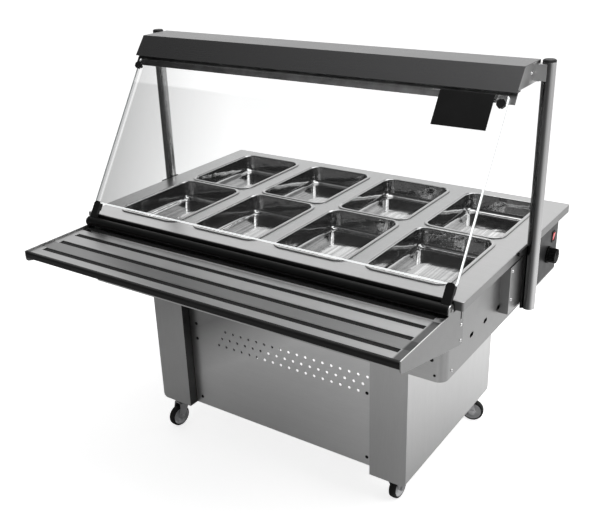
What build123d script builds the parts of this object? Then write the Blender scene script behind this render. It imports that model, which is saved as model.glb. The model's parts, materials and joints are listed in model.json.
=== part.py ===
from build123d import *

import math
import os

# Bain marie counter on castors: a heated tub with eight food pans, a leaning glass guard under a
# canopy, and a tray slide along the front. Millimetres, +Z up, the customer's side faces -Y.
# The origin is on the floor, under the middle of the overall width and depth.

# Worktop sheet
worktop_height = 835.0
worktop_sheet = 1.5
worktop_lip = 27.0
worktop_corner = 6.0
worktop_edge = 2.5
worktop_side_margin = 75.5
worktop_front_margin = 61.0
worktop_rear_margin = 47.0

# Food pans, in rows along X
pan_columns = 4
pan_rows = 2
pan_column_gap = 51.0
pan_row_gap = 6.0
pan_mouth_x = 250.0
pan_mouth_y = 354.0
pan_corner = 34.0
pan_depth = 65.0
pan_sheet = 1.0
pan_taper = 4.0
pan_floor_bevel = 12.0
pan_rim = 12.0
pan_rim_turn = 3.5
pan_seat_gap = 0.3
pan_opening_gap = 2.0

# Tub casing under the worktop
tub_side_inset = 28.0
tub_front_reach = 40.0
tub_rear_inset = 15.0
tub_drop = 236.0
tub_sheet = 1.5
tub_corner = 28.0
ledge_drop = 42.0
ledge_riser_setback = 8.0
slot_count = 3
slot_length = 26.0
slot_height = 14.0
slot_setback = 137.0
slot_pitch = 98.0
slot_drop = 165.0

# Water tank inside the tub
tank_wall_gap = 12.0
tank_sheet = 1.2
tank_depth = 175.0
tank_flange = 10.0
tank_corner = 5.0

# Heating element and thermowell
element_diameter = 8.5
element_lift = 16.0
element_end_gap = 107.4
element_loop = 150.0
element_loops = 2
element_bend = 67.5
element_setback = 420.0
element_flange = 46.0
element_flange_sheet = 3.0
element_tail = 18.0
support_sheet = 3.0
support_count = 4
support_height = 7.0
support_end = 30.0
thermowell_diameter = 10.0
thermowell_length = 130.0
thermowell_collar = 20.0
hole_clearance = 0.3

# Sides of small round forms that repeat
facet_sides = 8

# Controls on the right side
control_bracket_gap = 25.0
control_rear_gap = 5.0
control_top_drop = 32.0
control_bottom_gap = 8.0
control_plate = 2.0
control_window_margin = 22.0
knob_rear_inset = 87.0
knob_drop = 151.0
knob_diameter = 50.0
knob_skirt = 58.0
knob_skirt_height = 5.0
knob_height = 32.0
knob_ribs = 12
knob_rib_depth = 1.6
knob_ridge_length = 18.8
knob_ridge_width = 3.2
knob_panel_gap = 0.5
spindle_diameter = 6.0
spindle_fit = 0.05
spindle_depth = 16.0
thermostat_width = 46.0
thermostat_height = 52.0
thermostat_depth = 36.0
thermostat_corner = 8.0
thermostat_bush = 15.0
switch_rear_inset = 45.0
switch_drop = 100.0
switch_width = 26.0
switch_height = 38.0
switch_bezel = 2.5
switch_bezel_height = 2.5
switch_wall = 1.25
switch_depth = 22.0
rocker_gap = 0.4
rocker_end_gap = 1.2
rocker_keel = 4.4
rocker_keel_half = 6.5
rocker_pin = 2.4
rocker_pin_length = 1.1
rocker_pin_fit = 0.05
rocker_tilt = 7.0
gland_side_inset = 72.0
gland_rear_inset = 65.0
gland_diameter = 20.0
gland_neck = 16.0
gland_bore = 9.0
gland_drop = 24.0
gland_bevel = 2.5
gland_hexagon = 23.0
gland_hexagon_height = 8.0
gland_locknut = 6.0

# Drain under the tank
drain_x = 120.0
drain_setback = 600.0
drain_diameter = 27.0
drain_bore = 20.0
drain_length = 105.0
valve_diameter = 40.0
valve_height = 52.0
valve_outlet = 24.0
stem_diameter = 10.0
stem_boss = 20.0
stem_reach = 34.0
lever_length = 95.0
lever_width = 16.0
lever_sheet = 3.0

# Leg boxes and front panel
leg_width = 130.0
leg_span = 754.0
leg_setback = 78.0
leg_depth = 657.0
leg_sheet = 1.5
leg_outer_radius = 16.0
leg_rear_radius = 25.0
panel_recess = 36.0
panel_sheet = 1.5
panel_flange = 25.0
panel_floor_gap = 3.0
vent_diameter = 10.0
vent_columns = 18
vent_rows = 3
vent_pitch_x = 33.2
vent_pitch_z = 29.5
vent_end_inset = 28.6
vent_drop = 159.0

# Swivel castors
wheel_top_gap = 10.6
castor_inset_front = 38.0
castor_inset_rear = 56.0
castor_plate = 60.0
castor_plate_sheet = 3.0
castor_plate_corner = 6.0
castor_trail = 32.0
castor_head_diameter = 42.0
castor_head_height = 8.0
castor_gap = 0.4
kingpin_diameter = 12.0
kingpin_fit = 0.05
kingpin_rivet = 19.0
kingpin_rivet_height = 3.0
fork_sheet = 3.0
fork_cheek_gap = 3.0
fork_tip_radius = 12.0
wheel_diameter = 80.0
wheel_width = 24.0
tyre_thickness = 8.0
tyre_bevel = 4.0
hub_boss_diameter = 22.0
hub_web = 8.0
axle_diameter = 10.0
axle_fit = 0.05
axle_head = 17.0
axle_head_height = 3.0
# Heading of each castor: 0 trails to the rear, 180 to the front
castor_headings = {"front_left": 172.0, "front_right": -3.0, "rear_left": 10.0, "rear_right": -75.0}

# Uprights at the sides
upright_diameter = 38.0
upright_wall = 1.5
upright_setback = 456.0
upright_top_drop = 3.0
upright_foot_rise = 31.0
cap_height = 7.0
cap_bevel = 3.0
bracket_front_reach = 116.0
bracket_sheet = 2.0
bracket_edge_gap = 0.3
bracket_rear_reach = 24.0
bracket_top_drop = 33.0
bracket_bottom_gap = 51.0
saddle_width = 34.0
saddle_web = 3.0
saddle_wrap = 4.0
saddle_rise = 0.5
saddle_arm = 6.0
saddle_arm_reach = 53.0
saddle_arm_rise = 0.3
saddle_arm_drop = 27.0
saddle_arm_tip = 12.0

# Canopy
canopy_upright_gap = 10.3
canopy_sheet = 1.5
canopy_overhang = 9.2
canopy_brow_run = 48.0
canopy_rear_reach = 14.0
canopy_underside = 486.0
canopy_rise = 62.0
canopy_return = 28.0
canopy_end_inset = 6.0
canopy_bracket_height = 46.0
canopy_bracket_front_reach = 20.0
canopy_bracket_rear_reach = 12.0

# Leaning glass and its pivot bar
bar_diameter = 30.0
bar_wall = 2.5
bar_setback = -20.0
bar_ledge_gap = 5.0
bar_end_gap = 1.0
journal_diameter = 10.0
journal_fit = 0.05
plug_depth = 20.0
plug_head = 4.0
glass_lean = 33.1
glass_thickness = 8.0
glass_end_gap = 19.0
glass_start = 66.0
glass_top_gap = 10.7
glass_corner = 8.0
clamp_bar_inset = 0.5
clamp_width = 26.0
clamp_thickness = 16.0
clamp_grip = 6.0
clamp_slot_gap = 0.05
clamp_top_round = 10.0
clamp_neck = 42.0
clamp_edge_gap = 0.9
rail_end_gap = 2.5
rail_sheet = 2.5
rail_drop = 21.0
rail_glass_gap = 0.5
thumb_inset = 14.0
thumb_diameter = 26.0
thumb_height = 14.0
thumb_neck_diameter = 14.0
thumb_neck = 4.0
thumb_gap = 0.3
thumb_lobes = 8
thumb_lobe_depth = 1.4
stud_diameter = 6.0
stud_glass_gap = 0.3
stud_nut = 11.0
stud_nut_height = 3.0
stud_rail_gap = 1.2
sign_end_inset = 40.0
sign_width = 161.0
sign_height = 103.0
sign_top_gap = 1.0
sign_thickness = 2.5

# Tray slide along the front
tray_reach = 300.0
tray_drop = 38.0
tray_sheet = 1.5
tray_rear_gap = 28.0
tray_lip = 20.0
groove_width = 20.0
groove_depth = 4.0
groove_end_gap = 28.0
groove_first_reach = 109.0
groove_pitch = 69.0
groove_count = 3
strip_thickness = 3.0
strip_side_gap = 0.2
trim_thickness = 12.0
trim_height = 22.0
trim_round = 7.0
end_sheet = 3.0
end_front_height = 30.0
end_rear_setback = 66.0
end_rear_drop = 157.0
end_top_drop = 6.0
end_rise = 5.0
end_ear_radius = 17.0
end_corner = 12.0
end_slot_length = 26.0
end_slot_height = 8.0
end_slot_inset = 18.0

# Dome screws
screw_diameter = 12.0
screw_height = 4.0
screw_taper = 32.0
panel_screw_inset = 30.0
side_screw_inset = 16.0
side_screw_pitch = 48.0
bracket_screw_pitch = 92.0
corner_screw_inset = 20.0

# Places that follow from the sizes above
pan_pitch_x = pan_mouth_x + 2 * pan_rim + pan_column_gap
pan_pitch_y = pan_mouth_y + 2 * pan_rim + pan_row_gap
pan_field_x = pan_columns * pan_pitch_x - pan_column_gap
pan_field_y = pan_rows * pan_pitch_y - pan_row_gap
worktop_width = pan_field_x + 2 * worktop_side_margin
worktop_depth = worktop_front_margin + pan_field_y + worktop_rear_margin
pan_setback = worktop_front_margin + pan_rim + pan_mouth_y / 2
castor_crown_low = wheel_diameter + wheel_top_gap
castor_height = castor_crown_low + fork_sheet + castor_gap + castor_head_height + castor_plate_sheet
front_y = (tray_reach - worktop_depth) / 2
rear_y = front_y + worktop_depth
tub_half = worktop_width / 2 - tub_side_inset
tub_front = front_y - tub_front_reach
tub_rear = rear_y - tub_rear_inset
tub_bottom = worktop_height - tub_drop
ledge_top = worktop_height - ledge_drop
worktop_under = worktop_height - worktop_sheet
leg_front = front_y + leg_setback
leg_rear = leg_front + leg_depth
panel_front = leg_front + panel_recess
vent_first_x = leg_span / 2 - vent_end_inset - (vent_columns - 1) * vent_pitch_x
bar_y = front_y + bar_setback
bar_z = ledge_top + bar_ledge_gap + bar_diameter / 2
tray_top = worktop_height - tray_drop
tray_front = front_y - tray_reach + trim_thickness
tray_rear = tub_front - tray_rear_gap
bracket_face = worktop_width / 2 + bracket_edge_gap
upright_x = bracket_face + saddle_web + upright_diameter / 2
upright_y = front_y + upright_setback
bracket_front = upright_y - bracket_front_reach
bracket_rear = upright_y + bracket_rear_reach
bracket_low = tub_bottom + bracket_bottom_gap
upright_foot = tub_bottom + upright_foot_rise
canopy_low = worktop_height + canopy_underside
canopy_top = canopy_low + canopy_rise
upright_top = canopy_top - upright_top_drop
canopy_half = upright_x - upright_diameter / 2 - canopy_upright_gap
canopy_end = canopy_half - canopy_end_inset
lean = math.radians(glass_lean)
canopy_front = bar_y + (canopy_low - bar_z) * math.tan(lean) - canopy_overhang
canopy_rear = upright_y + canopy_rear_reach
control_front = bracket_rear + control_bracket_gap
control_rear = tub_rear - control_rear_gap
control_top = worktop_height - control_top_drop
control_low = tub_bottom + control_bottom_gap
control_face = tub_half + control_plate
knob_y = control_rear - knob_rear_inset
knob_z = worktop_height - knob_drop
switch_y = control_rear - switch_rear_inset
switch_z = worktop_height - switch_drop
glass_half = canopy_half - glass_end_gap
glass_end = (canopy_low - glass_top_gap - bar_z) / math.cos(lean)
glass_length = glass_end - glass_start
clamp_x = tub_half - bar_end_gap - clamp_bar_inset - clamp_width / 2
thumb_x = glass_half - thumb_inset
thumb_u = glass_end - rail_drop - stud_rail_gap - stud_nut / 2
rail_half = canopy_half - rail_end_gap
sign_right = glass_half - sign_end_inset
edge_ahead = front_y - bar_y - (worktop_height - bar_z) * math.tan(lean)
clamp_neck_rear = edge_ahead * math.cos(lean) - clamp_edge_gap


def rectangle(across, up):
    """Flat rectangle between two pairs of limits."""
    centre = Pos((across[0] + across[1]) / 2, (up[0] + up[1]) / 2)
    return centre * Rectangle(across[1] - across[0], up[1] - up[0])


def polygon(points):
    """Flat face inside a closed outline of straight sides."""
    return make_face(Polyline(*points, close=True))


def along_x(section, low, high):
    """Section drawn in Y and Z, run along X."""
    return Pos(low, 0, 0) * extrude(Plane.YZ * section, amount=high - low)


def along_y(section, low, high):
    """Section drawn in X and Z, run along Y."""
    return Pos(0, high, 0) * extrude(Plane.XZ * section, amount=high - low)


def along_z(section, low, high):
    """Section drawn in X and Y, run along Z."""
    return Pos(0, 0, low) * extrude(section, amount=high - low)


def rounded(section, radius, corners):
    """Section with the chosen corners rounded; corners picks from the vertices."""
    return fillet(corners(section.vertices()), radius)


def both_sides(piece):
    """A right-hand piece and its mirror image on the left, as separate solids."""
    solids = piece.solids() + mirror(piece, about=Plane.YZ).solids()
    return Compound(solids)


def dome(place):
    """Raised head of a screw, standing on the place's own XY plane."""
    head = RegularPolygon(screw_diameter / 2, facet_sides)
    return place * extrude(head, amount=screw_height, taper=screw_taper)


# Base


def leg_form(inset):
    """Block of the right leg, drawn in by the inset on every side but the top."""
    inner, outer = leg_span / 2 + inset, leg_span / 2 + leg_width - inset
    front, rear = leg_front + inset, leg_rear - inset
    height = (castor_height + inset, tub_bottom)
    side = rounded(
        rectangle((front, rear), height),
        leg_rear_radius - inset,
        lambda corners: corners.group_by(Axis.Y)[0].sort_by(Axis.X)[-1],
    )
    face = rounded(
        rectangle((inner, outer), height),
        leg_outer_radius - inset,
        lambda corners: corners.group_by(Axis.Y)[0].sort_by(Axis.X)[-1],
    )
    return along_x(side, inner, outer) & along_y(face, front, rear)


def make_legs():
    """Two folded leg boxes, closed below and open under the tub."""
    right = leg_form(0.0) - leg_form(leg_sheet)
    return {"leg_left": mirror(right, about=Plane.YZ), "leg_right": right}


def vent_places():
    """X and Z of every vent hole, each row half a pitch further left than the one above."""
    return [
        (
            vent_first_x + (column - row / 2) * vent_pitch_x,
            tub_bottom - vent_drop - row * vent_pitch_z,
        )
        for row in range(vent_rows)
        for column in range(vent_columns)
    ]


def make_front_panel():
    """Recessed panel between the legs, folded back along both sides, with its vent holes."""
    half = leg_span / 2
    back = panel_front + panel_flange
    plan = rectangle((-half, half), (panel_front, back))
    plan -= rectangle((-half + panel_sheet, half - panel_sheet), (panel_front + panel_sheet, back))
    panel = along_z(plan, castor_height + panel_floor_gap, tub_bottom)
    vent = RegularPolygon(vent_diameter / 2, facet_sides)
    holes = Sketch() + [Pos(x, z) * vent for x, z in vent_places()]
    panel -= along_y(holes, panel_front, panel_front + panel_sheet)
    return {"front_panel": panel}


def castor_places():
    """Swivel axis of each castor on the floor plan, by name."""
    across = leg_span / 2 + leg_width / 2
    near, far = leg_front + castor_inset_front, leg_rear - castor_inset_rear
    return {
        "front_left": (-across, near),
        "front_right": (across, near),
        "rear_left": (-across, far),
        "rear_right": (across, far),
    }


def castor_mount():
    """Fixed top plate, bearing head and riveted kingpin, about the swivel axis."""
    plate_low = castor_height - castor_plate_sheet
    head_low = plate_low - castor_head_height
    pin_low = head_low - castor_gap - fork_sheet - castor_gap
    square = RectangleRounded(castor_plate, castor_plate, castor_plate_corner)
    plate = along_z(square, plate_low, castor_height)
    head = along_z(Circle(castor_head_diameter / 2), head_low, plate_low)
    pin = along_z(Circle(kingpin_diameter / 2), pin_low, head_low)
    rivet = along_z(Circle(kingpin_rivet / 2), pin_low - kingpin_rivet_height, pin_low)
    return plate + head + pin + rivet


def castor_fork():
    """Fork with its crown and two cheeks, trailing towards +Y, and the axle it carries."""
    crown_low = castor_crown_low
    crown_top = crown_low + fork_sheet
    inner = wheel_width / 2 + fork_cheek_gap
    outer = inner + fork_sheet
    axle_z = wheel_diameter / 2
    crown_radius = castor_head_diameter / 2
    crown_back = Pos(0, fork_tip_radius) * Rectangle(2 * outer, 2 * crown_radius)
    crown_plan = make_hull((Circle(crown_radius) + crown_back).edges())
    crown = along_z(crown_plan, crown_low, crown_top)
    crown -= along_z(Circle(kingpin_diameter / 2 + kingpin_fit), crown_low, crown_top)
    axis = Pos(castor_trail, axle_z)
    cheek_top = (fork_tip_radius - crown_radius, fork_tip_radius + crown_radius)
    side = axis * Circle(fork_tip_radius) + rectangle(cheek_top, (crown_low, crown_top))
    cheek = along_x(make_hull(side.edges()), inner, outer)
    cheek -= along_x(axis * Circle(axle_diameter / 2 + axle_fit), inner, outer)
    fork = crown + cheek + mirror(cheek, about=Plane.YZ)
    shank = along_x(axis * Circle(axle_diameter / 2), -outer, outer)
    head = along_x(axis * Circle(axle_head / 2), outer, outer + axle_head_height)
    axle = shank + head + mirror(head, about=Plane.YZ)
    return Compound(fork.solids() + axle.solids())


def wheel_turn(outline):
    """Wheel piece turned about the axle; the outline gives radius and place across the wheel."""
    face = Plane.XY * outline
    return Pos(0, castor_trail, wheel_diameter / 2) * revolve(face, Axis.X)


def castor_hub():
    """Wheel centre, dished from the boss on the axle out to the rim under the tyre."""
    bore = axle_diameter / 2 + axle_fit
    boss = hub_boss_diameter / 2
    rim = wheel_diameter / 2 - tyre_thickness
    boss_half = wheel_width / 2 + fork_cheek_gap - castor_gap
    right = [(boss_half, bore), (boss_half, boss), (hub_web / 2, boss), (wheel_width / 2, rim)]
    left = [(-across, radius) for across, radius in reversed(right)]
    outline = polygon(right + left)
    return wheel_turn(outline)


def castor_tyre():
    """Tyre on the wheel's rim, with bevelled shoulders."""
    rim, tread = wheel_diameter / 2 - tyre_thickness, wheel_diameter / 2
    outline = rectangle((-wheel_width / 2, wheel_width / 2), (rim, tread))
    outline = chamfer(outline.vertices().group_by(Axis.Y)[-1], tyre_bevel)
    return wheel_turn(outline)


def make_castors():
    """Four swivel castors, each with a fork, hub and tyre of its own."""
    nodes = {}
    mounts = []
    for name, (x, y) in castor_places().items():
        mounts += (Pos(x, y, 0) * castor_mount()).solids()
        turned = Pos(x, y, 0) * Rot(0, 0, castor_headings[name])
        nodes[f"castor_fork_{name}"] = turned * castor_fork()
        nodes[f"castor_hub_{name}"] = turned * castor_hub()
        nodes[f"castor_tyre_{name}"] = turned * castor_tyre()
    nodes["castor_plates"] = Compound(mounts)
    return nodes


# Heated body


def pan_places():
    """Centre of every pan on the floor plan, by name."""
    places = {}
    for row, row_name in zip(range(pan_rows), ("front", "rear")):
        for column in range(pan_columns):
            x = (column - (pan_columns - 1) / 2) * pan_pitch_x
            y = front_y + pan_setback + row * pan_pitch_y
            places[f"pan_{row_name}_{column + 1}"] = (x, y)
    return places


def pan_outline(margin):
    """Rounded outline of a pan's mouth, grown by the margin."""
    return RectangleRounded(pan_mouth_x + 2 * margin, pan_mouth_y + 2 * margin, pan_corner + margin)


def pan_bowl(margin, depth):
    """Tapering bowl below the mouth, with a bevelled edge round its floor."""
    bowl = extrude(pan_outline(margin), amount=-depth, taper=pan_taper)
    floor = bowl.faces().sort_by(Axis.Z)[0]
    return chamfer(floor.edges(), pan_floor_bevel)


def make_pans():
    """Food pans that hang in the worktop by their turned-down rims."""
    rim_low = pan_seat_gap
    rim_top = rim_low + pan_rim_turn
    rim = along_z(pan_outline(pan_rim), rim_low, rim_top)
    rim -= along_z(pan_outline(pan_rim - pan_sheet), rim_low, rim_top - pan_sheet)
    pan = rim + Pos(0, 0, rim_top) * pan_bowl(pan_sheet, pan_depth + pan_sheet)
    pan -= Pos(0, 0, rim_top) * pan_bowl(0.0, pan_depth)
    return {
        name: Pos(x, y, worktop_height) * pan for name, (x, y) in pan_places().items()
    }


def make_worktop():
    """Worktop sheet with a lip folded down all round and an opening for each pan."""
    low = worktop_height - worktop_lip
    mid_y = (front_y + rear_y) / 2
    plan = Pos(0, mid_y) * RectangleRounded(worktop_width, worktop_depth, worktop_corner)
    inside = Pos(0, mid_y) * RectangleRounded(
        worktop_width - 2 * worktop_sheet,
        worktop_depth - 2 * worktop_sheet,
        worktop_corner - worktop_sheet,
    )
    top = along_z(plan, low, worktop_height)
    top = fillet(top.faces().sort_by(Axis.Z)[-1].edges(), worktop_edge)
    top -= along_z(inside, low, worktop_under)
    openings = Sketch() + [
        Pos(x, y) * pan_outline(pan_sheet + pan_opening_gap) for x, y in pan_places().values()
    ]
    return {"worktop": top - along_z(openings, worktop_under, worktop_height)}


def tub_plan(inset):
    """Floor plan of the tub with its rounded front corners."""
    plan = rectangle((-tub_half + inset, tub_half - inset), (tub_front + inset, tub_rear - inset))
    return rounded(plan, tub_corner - inset, lambda corners: corners.group_by(Axis.Y)[0])


def make_tub():
    """Tub casing: one folded skin, open at the top, with a ledge along the front."""
    riser = front_y + ledge_riser_setback
    upper = rectangle((-tub_half, tub_half), (riser, tub_rear))
    upper_inside = rectangle(
        (-tub_half + tub_sheet, tub_half - tub_sheet), (riser + tub_sheet, tub_rear - tub_sheet)
    )
    tub = along_z(tub_plan(0.0), tub_bottom, ledge_top)
    tub += along_z(upper, ledge_top, worktop_under)
    tub -= along_z(tub_plan(tub_sheet), tub_bottom + tub_sheet, ledge_top - tub_sheet)
    tub -= along_z(upper_inside, ledge_top - tub_sheet, worktop_under)
    slots = Sketch() + [
        Pos(front_y + slot_setback + step * slot_pitch, worktop_height - slot_drop)
        * SlotOverall(slot_length, slot_height)
        for step in range(slot_count)
    ]
    tub -= along_x(slots, -tub_half, -tub_half + tub_sheet)
    tub -= along_x(slots, tub_half - tub_sheet, tub_half)
    tub -= along_x(control_outline(control_window_margin), tub_half - tub_sheet, tub_half)
    floor = (tub_bottom, tub_bottom + tub_sheet)
    tub -= along_z(drain_place() * Circle(drain_diameter / 2 + hole_clearance), *floor)
    tub -= along_z(gland_place() * Circle(gland_neck / 2), *floor)
    return {"tub_casing": tub}


def tank_limits(inset):
    """X and Y limits of the tank's walls round all the pans, drawn in by the inset."""
    places = pan_places().values()
    half_x = pan_mouth_x / 2 + pan_sheet + tank_wall_gap - inset
    half_y = pan_mouth_y / 2 + pan_sheet + tank_wall_gap - inset
    across = (min(x for x, _ in places) - half_x, max(x for x, _ in places) + half_x)
    along = (min(y for _, y in places) - half_y, max(y for _, y in places) + half_y)
    return across, along


def tank_plan(inset):
    """Floor plan of the tank, drawn in by the inset."""
    return rounded(rectangle(*tank_limits(inset)), tank_corner - inset, lambda corners: corners)


def make_tank():
    """Water tank hung under the worktop by a flange, with its drain stub and the holes in its wall."""
    bottom = worktop_under - tank_depth
    tank = along_z(tank_plan(0.0), bottom, worktop_under)
    tank += along_z(tank_plan(-tank_flange), worktop_under - tank_sheet, worktop_under)
    tank -= along_z(tank_plan(tank_sheet), bottom + tank_sheet, worktop_under)
    wall = tank_limits(0.0)[0][1]
    holes = Sketch() + [
        Pos(y, element_z()) * Circle(element_diameter / 2 + hole_clearance) for y in element_tails()
    ]
    holes += thermowell_place() * Circle(thermowell_diameter / 2 + hole_clearance)
    tank -= along_x(holes, wall - tank_sheet, wall)
    stub_low = bottom - drain_length
    tank += along_z(drain_place() * Circle(drain_diameter / 2), stub_low, bottom)
    tank -= along_z(drain_place() * Circle(drain_bore / 2), stub_low, bottom + tank_sheet)
    return {"water_tank": tank}


def element_z():
    """Height of the heating element's centre line."""
    return worktop_under - tank_depth + tank_sheet + element_lift


def element_runs():
    """Y of each straight run of the heating element, front to rear."""
    count = 2 * element_loops
    first = front_y + element_setback - (count - 1) * element_loop / 2
    return [first + step * element_loop for step in range(count)]


def element_tails():
    """Y of the two ends of the element, which leave through the tank's right wall."""
    runs = element_runs()
    return runs[0], runs[-1]


def make_element():
    """Tubular heating element bent to and fro over the tank floor, with a flange at each tail."""
    wall = tank_limits(0.0)[0][1]
    right = wall - tank_corner
    left = tank_limits(0.0)[0][0] + element_end_gap
    runs = element_runs()
    points = [(wall + element_tail, runs[0])]
    for step in range(element_loops):
        first, second = runs[2 * step], runs[2 * step + 1]
        points += [(left, first), (left, second)]
        if step < element_loops - 1:
            points += [(right - element_loop / 2, second), (right - element_loop / 2, runs[2 * step + 2])]
    points += [(wall + element_tail, runs[-1])]
    path = Pos(0, 0, element_z()) * FilletPolyline(*points, radius=element_bend)
    section = RegularPolygon(element_diameter / 2, facet_sides)
    tube = sweep(Plane(path @ 0, z_dir=path % 0) * section, path)
    for y in element_tails():
        flange = Pos(y, element_z()) * Circle(element_flange / 2)
        tube += along_x(flange, wall, wall + element_flange_sheet)
    return {"heating_element": tube}


def make_supports():
    """Notched blocks on the tank floor that hold the element's runs."""
    floor = worktop_under - tank_depth + tank_sheet
    across = tank_limits(0.0)[0]
    left, right = across[0] + element_end_gap, across[1] - tank_corner
    runs = element_runs()
    seat = floor + element_lift - element_diameter / 2
    along = (runs[0] - support_end, runs[-1] + support_end)
    section = rectangle(along, (floor, seat + support_height))
    half = element_diameter / 2 + hole_clearance
    for y in runs:
        section -= rectangle((y - half, y + half), (seat, seat + support_height))
    step = (right - left) / (support_count + 1)
    places = [left + step * (number + 1) for number in range(support_count)]
    supports = [along_x(section, x - support_sheet / 2, x + support_sheet / 2) for x in places]
    return {"element_supports": Compound([solid for part in supports for solid in part.solids()])}


def thermowell_place():
    """Thermowell's axis in Y and Z, level with the thermostat."""
    return Pos(knob_y, knob_z)


def make_thermowell():
    """Closed pocket through the tank wall that holds the thermostat's bulb in the water."""
    wall = tank_limits(0.0)[0][1]
    pocket = along_x(
        thermowell_place() * Circle(thermowell_diameter / 2), wall - thermowell_length, wall
    )
    collar = along_x(thermowell_place() * Circle(thermowell_collar / 2), wall, wall + element_flange_sheet)
    bore = along_x(
        thermowell_place() * Circle(thermowell_diameter / 2 - tank_sheet),
        wall - thermowell_length + tank_sheet,
        wall + element_flange_sheet,
    )
    return {"thermowell": pocket + collar - bore}


# Controls


def control_outline(margin):
    """Outline of the control panel in Y and Z, drawn in by the margin."""
    return rectangle(
        (control_front + margin, control_rear - margin), (control_low + margin, control_top - margin)
    )


def switch_place():
    """Middle of the rocker switch in Y and Z."""
    return Pos(switch_y, switch_z)


def make_controls():
    """Control panel with the thermostat, its spindle and knob, and the rocker switch."""
    axis = thermowell_place()
    plate = along_x(control_outline(0.0), tub_half, control_face)
    bush = thermostat_bush / 2
    plate -= along_x(axis * Circle(bush + hole_clearance), tub_half, control_face)
    plate -= along_x(
        switch_place() * Rectangle(switch_width - 2 * switch_bezel, switch_height - 2 * switch_bezel),
        tub_half,
        control_face,
    )
    case = axis * RectangleRounded(thermostat_width, thermostat_height, thermostat_corner)
    body = along_x(case, tub_half - thermostat_depth, tub_half)
    body += along_x(axis * Circle(bush), tub_half, control_face)
    spindle_hole = axis * Circle(spindle_diameter / 2 + spindle_fit)
    body -= along_x(spindle_hole, tub_half - spindle_depth, control_face)
    knob_low = control_face + knob_panel_gap
    knob_top = knob_low + knob_height
    spindle_end = knob_low + knob_height / 2
    spindle_start = tub_half - spindle_depth + knob_panel_gap
    spindle = along_x(axis * Circle(spindle_diameter / 2), spindle_start, spindle_end)
    return {
        "control_panel": plate,
        "thermostat": body,
        "thermostat_spindle": spindle,
        "thermostat_knob": make_knob(axis, knob_low, knob_top, spindle_end),
        **make_switch(),
    }


def make_knob(axis, low, top, spindle_end):
    """Ribbed thermostat knob with a skirt and a pointer ridge across its face."""
    grip = Circle(knob_diameter / 2)
    flute = Pos(knob_diameter / 2 + knob_rib_depth, 0) * Circle(2 * knob_rib_depth)
    for turn in range(knob_ribs):
        grip -= Rot(0, 0, (turn + 0.5) * 360 / knob_ribs) * flute
    body = along_x(axis * grip, low, top - knob_rib_depth)
    body += along_x(axis * Circle(knob_skirt / 2), low, low + knob_skirt_height)
    ridge = Rectangle(knob_ridge_width, knob_ridge_length)
    body += along_x(axis * Pos(0, knob_diameter / 4) * ridge, top - knob_rib_depth, top)
    return body - along_x(axis * Circle(spindle_diameter / 2), low, spindle_end)


def make_switch():
    """Rocker switch: a snap-in housing with a bezel, and a rocker that tips about its middle."""
    opening_y = switch_width - 2 * switch_bezel
    opening_z = switch_height - 2 * switch_bezel
    wall = switch_wall
    place = switch_place()
    bezel = place * RectangleRounded(switch_width, switch_height, switch_bezel)
    housing = along_x(bezel, control_face, control_face + switch_bezel_height)
    housing += along_x(
        place * Rectangle(opening_y - 2 * hole_clearance, opening_z - 2 * hole_clearance),
        control_face - switch_depth,
        control_face,
    )
    housing -= along_x(
        place * Rectangle(opening_y - 2 * wall, opening_z - 2 * wall),
        control_face - switch_depth / 2,
        control_face + switch_bezel_height,
    )
    rocker_half = opening_y / 2 - wall - rocker_gap
    pin_reach = rocker_half + rocker_pin_length
    x, z = rocker_axis()
    pin_hole = Pos(x, z) * Circle(rocker_pin / 2 + rocker_pin_fit)
    housing -= along_y(pin_hole, switch_y - pin_reach - rocker_gap, switch_y + pin_reach + rocker_gap)
    rocker = make_rocker(rocker_half, opening_z - 2 * wall)
    pin = Pos(x, z) * Circle(rocker_pin / 2)
    rocker += along_y(pin, switch_y - pin_reach, switch_y + pin_reach)
    return {"switch_housing": housing, "switch_rocker": rocker}


def rocker_axis():
    """X and Z of the rocker's pivot, at the front of the housing."""
    return control_face, switch_z


def make_rocker(half_width, pocket_z):
    """Lit rocker with two faces meeting in a shallow valley, one of them pressed in."""
    x, z = rocker_axis()
    half = pocket_z / 2 - rocker_end_gap
    dip = math.tan(math.radians(rocker_tilt)) * half
    proud = switch_bezel_height
    section = polygon(
        [
            (-rocker_keel, -rocker_keel_half),
            (proud - dip, -half),
            (proud, 0.0),
            (proud + dip, half),
            (-rocker_keel, rocker_keel_half),
        ]
    )
    return Pos(x, 0, z) * along_y(section, switch_y - half_width, switch_y + half_width)


def gland_place():
    """Centre of the cable gland under the tub."""
    return Pos(tub_half - gland_side_inset, tub_rear - gland_rear_inset)


def make_gland():
    """Cable gland through the tub floor: hexagon, domed nut and locknut, with an open bore."""
    hexagon = RegularPolygon(gland_hexagon / 2, 6)
    nut_low = tub_bottom - gland_drop
    inside = tub_bottom + tub_sheet
    gland = along_z(hexagon, tub_bottom - gland_hexagon_height, tub_bottom)
    gland += along_z(Circle(gland_diameter / 2), nut_low, tub_bottom - gland_hexagon_height)
    gland += along_z(Circle(gland_neck / 2), tub_bottom, inside)
    gland += along_z(hexagon, inside, inside + gland_locknut)
    gland = chamfer(gland.faces().sort_by(Axis.Z)[0].edges(), gland_bevel)
    gland -= along_z(Circle(gland_bore / 2), nut_low, inside + gland_locknut)
    return {"cable_gland": gland_place() * gland}


# Drain


def drain_place():
    """Axis of the drain on the floor plan."""
    return Pos(drain_x, front_y + drain_setback)


def valve_axis():
    """Height of the valve stem, which points to the rear."""
    return worktop_under - tank_depth - drain_length - valve_height / 2


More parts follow.
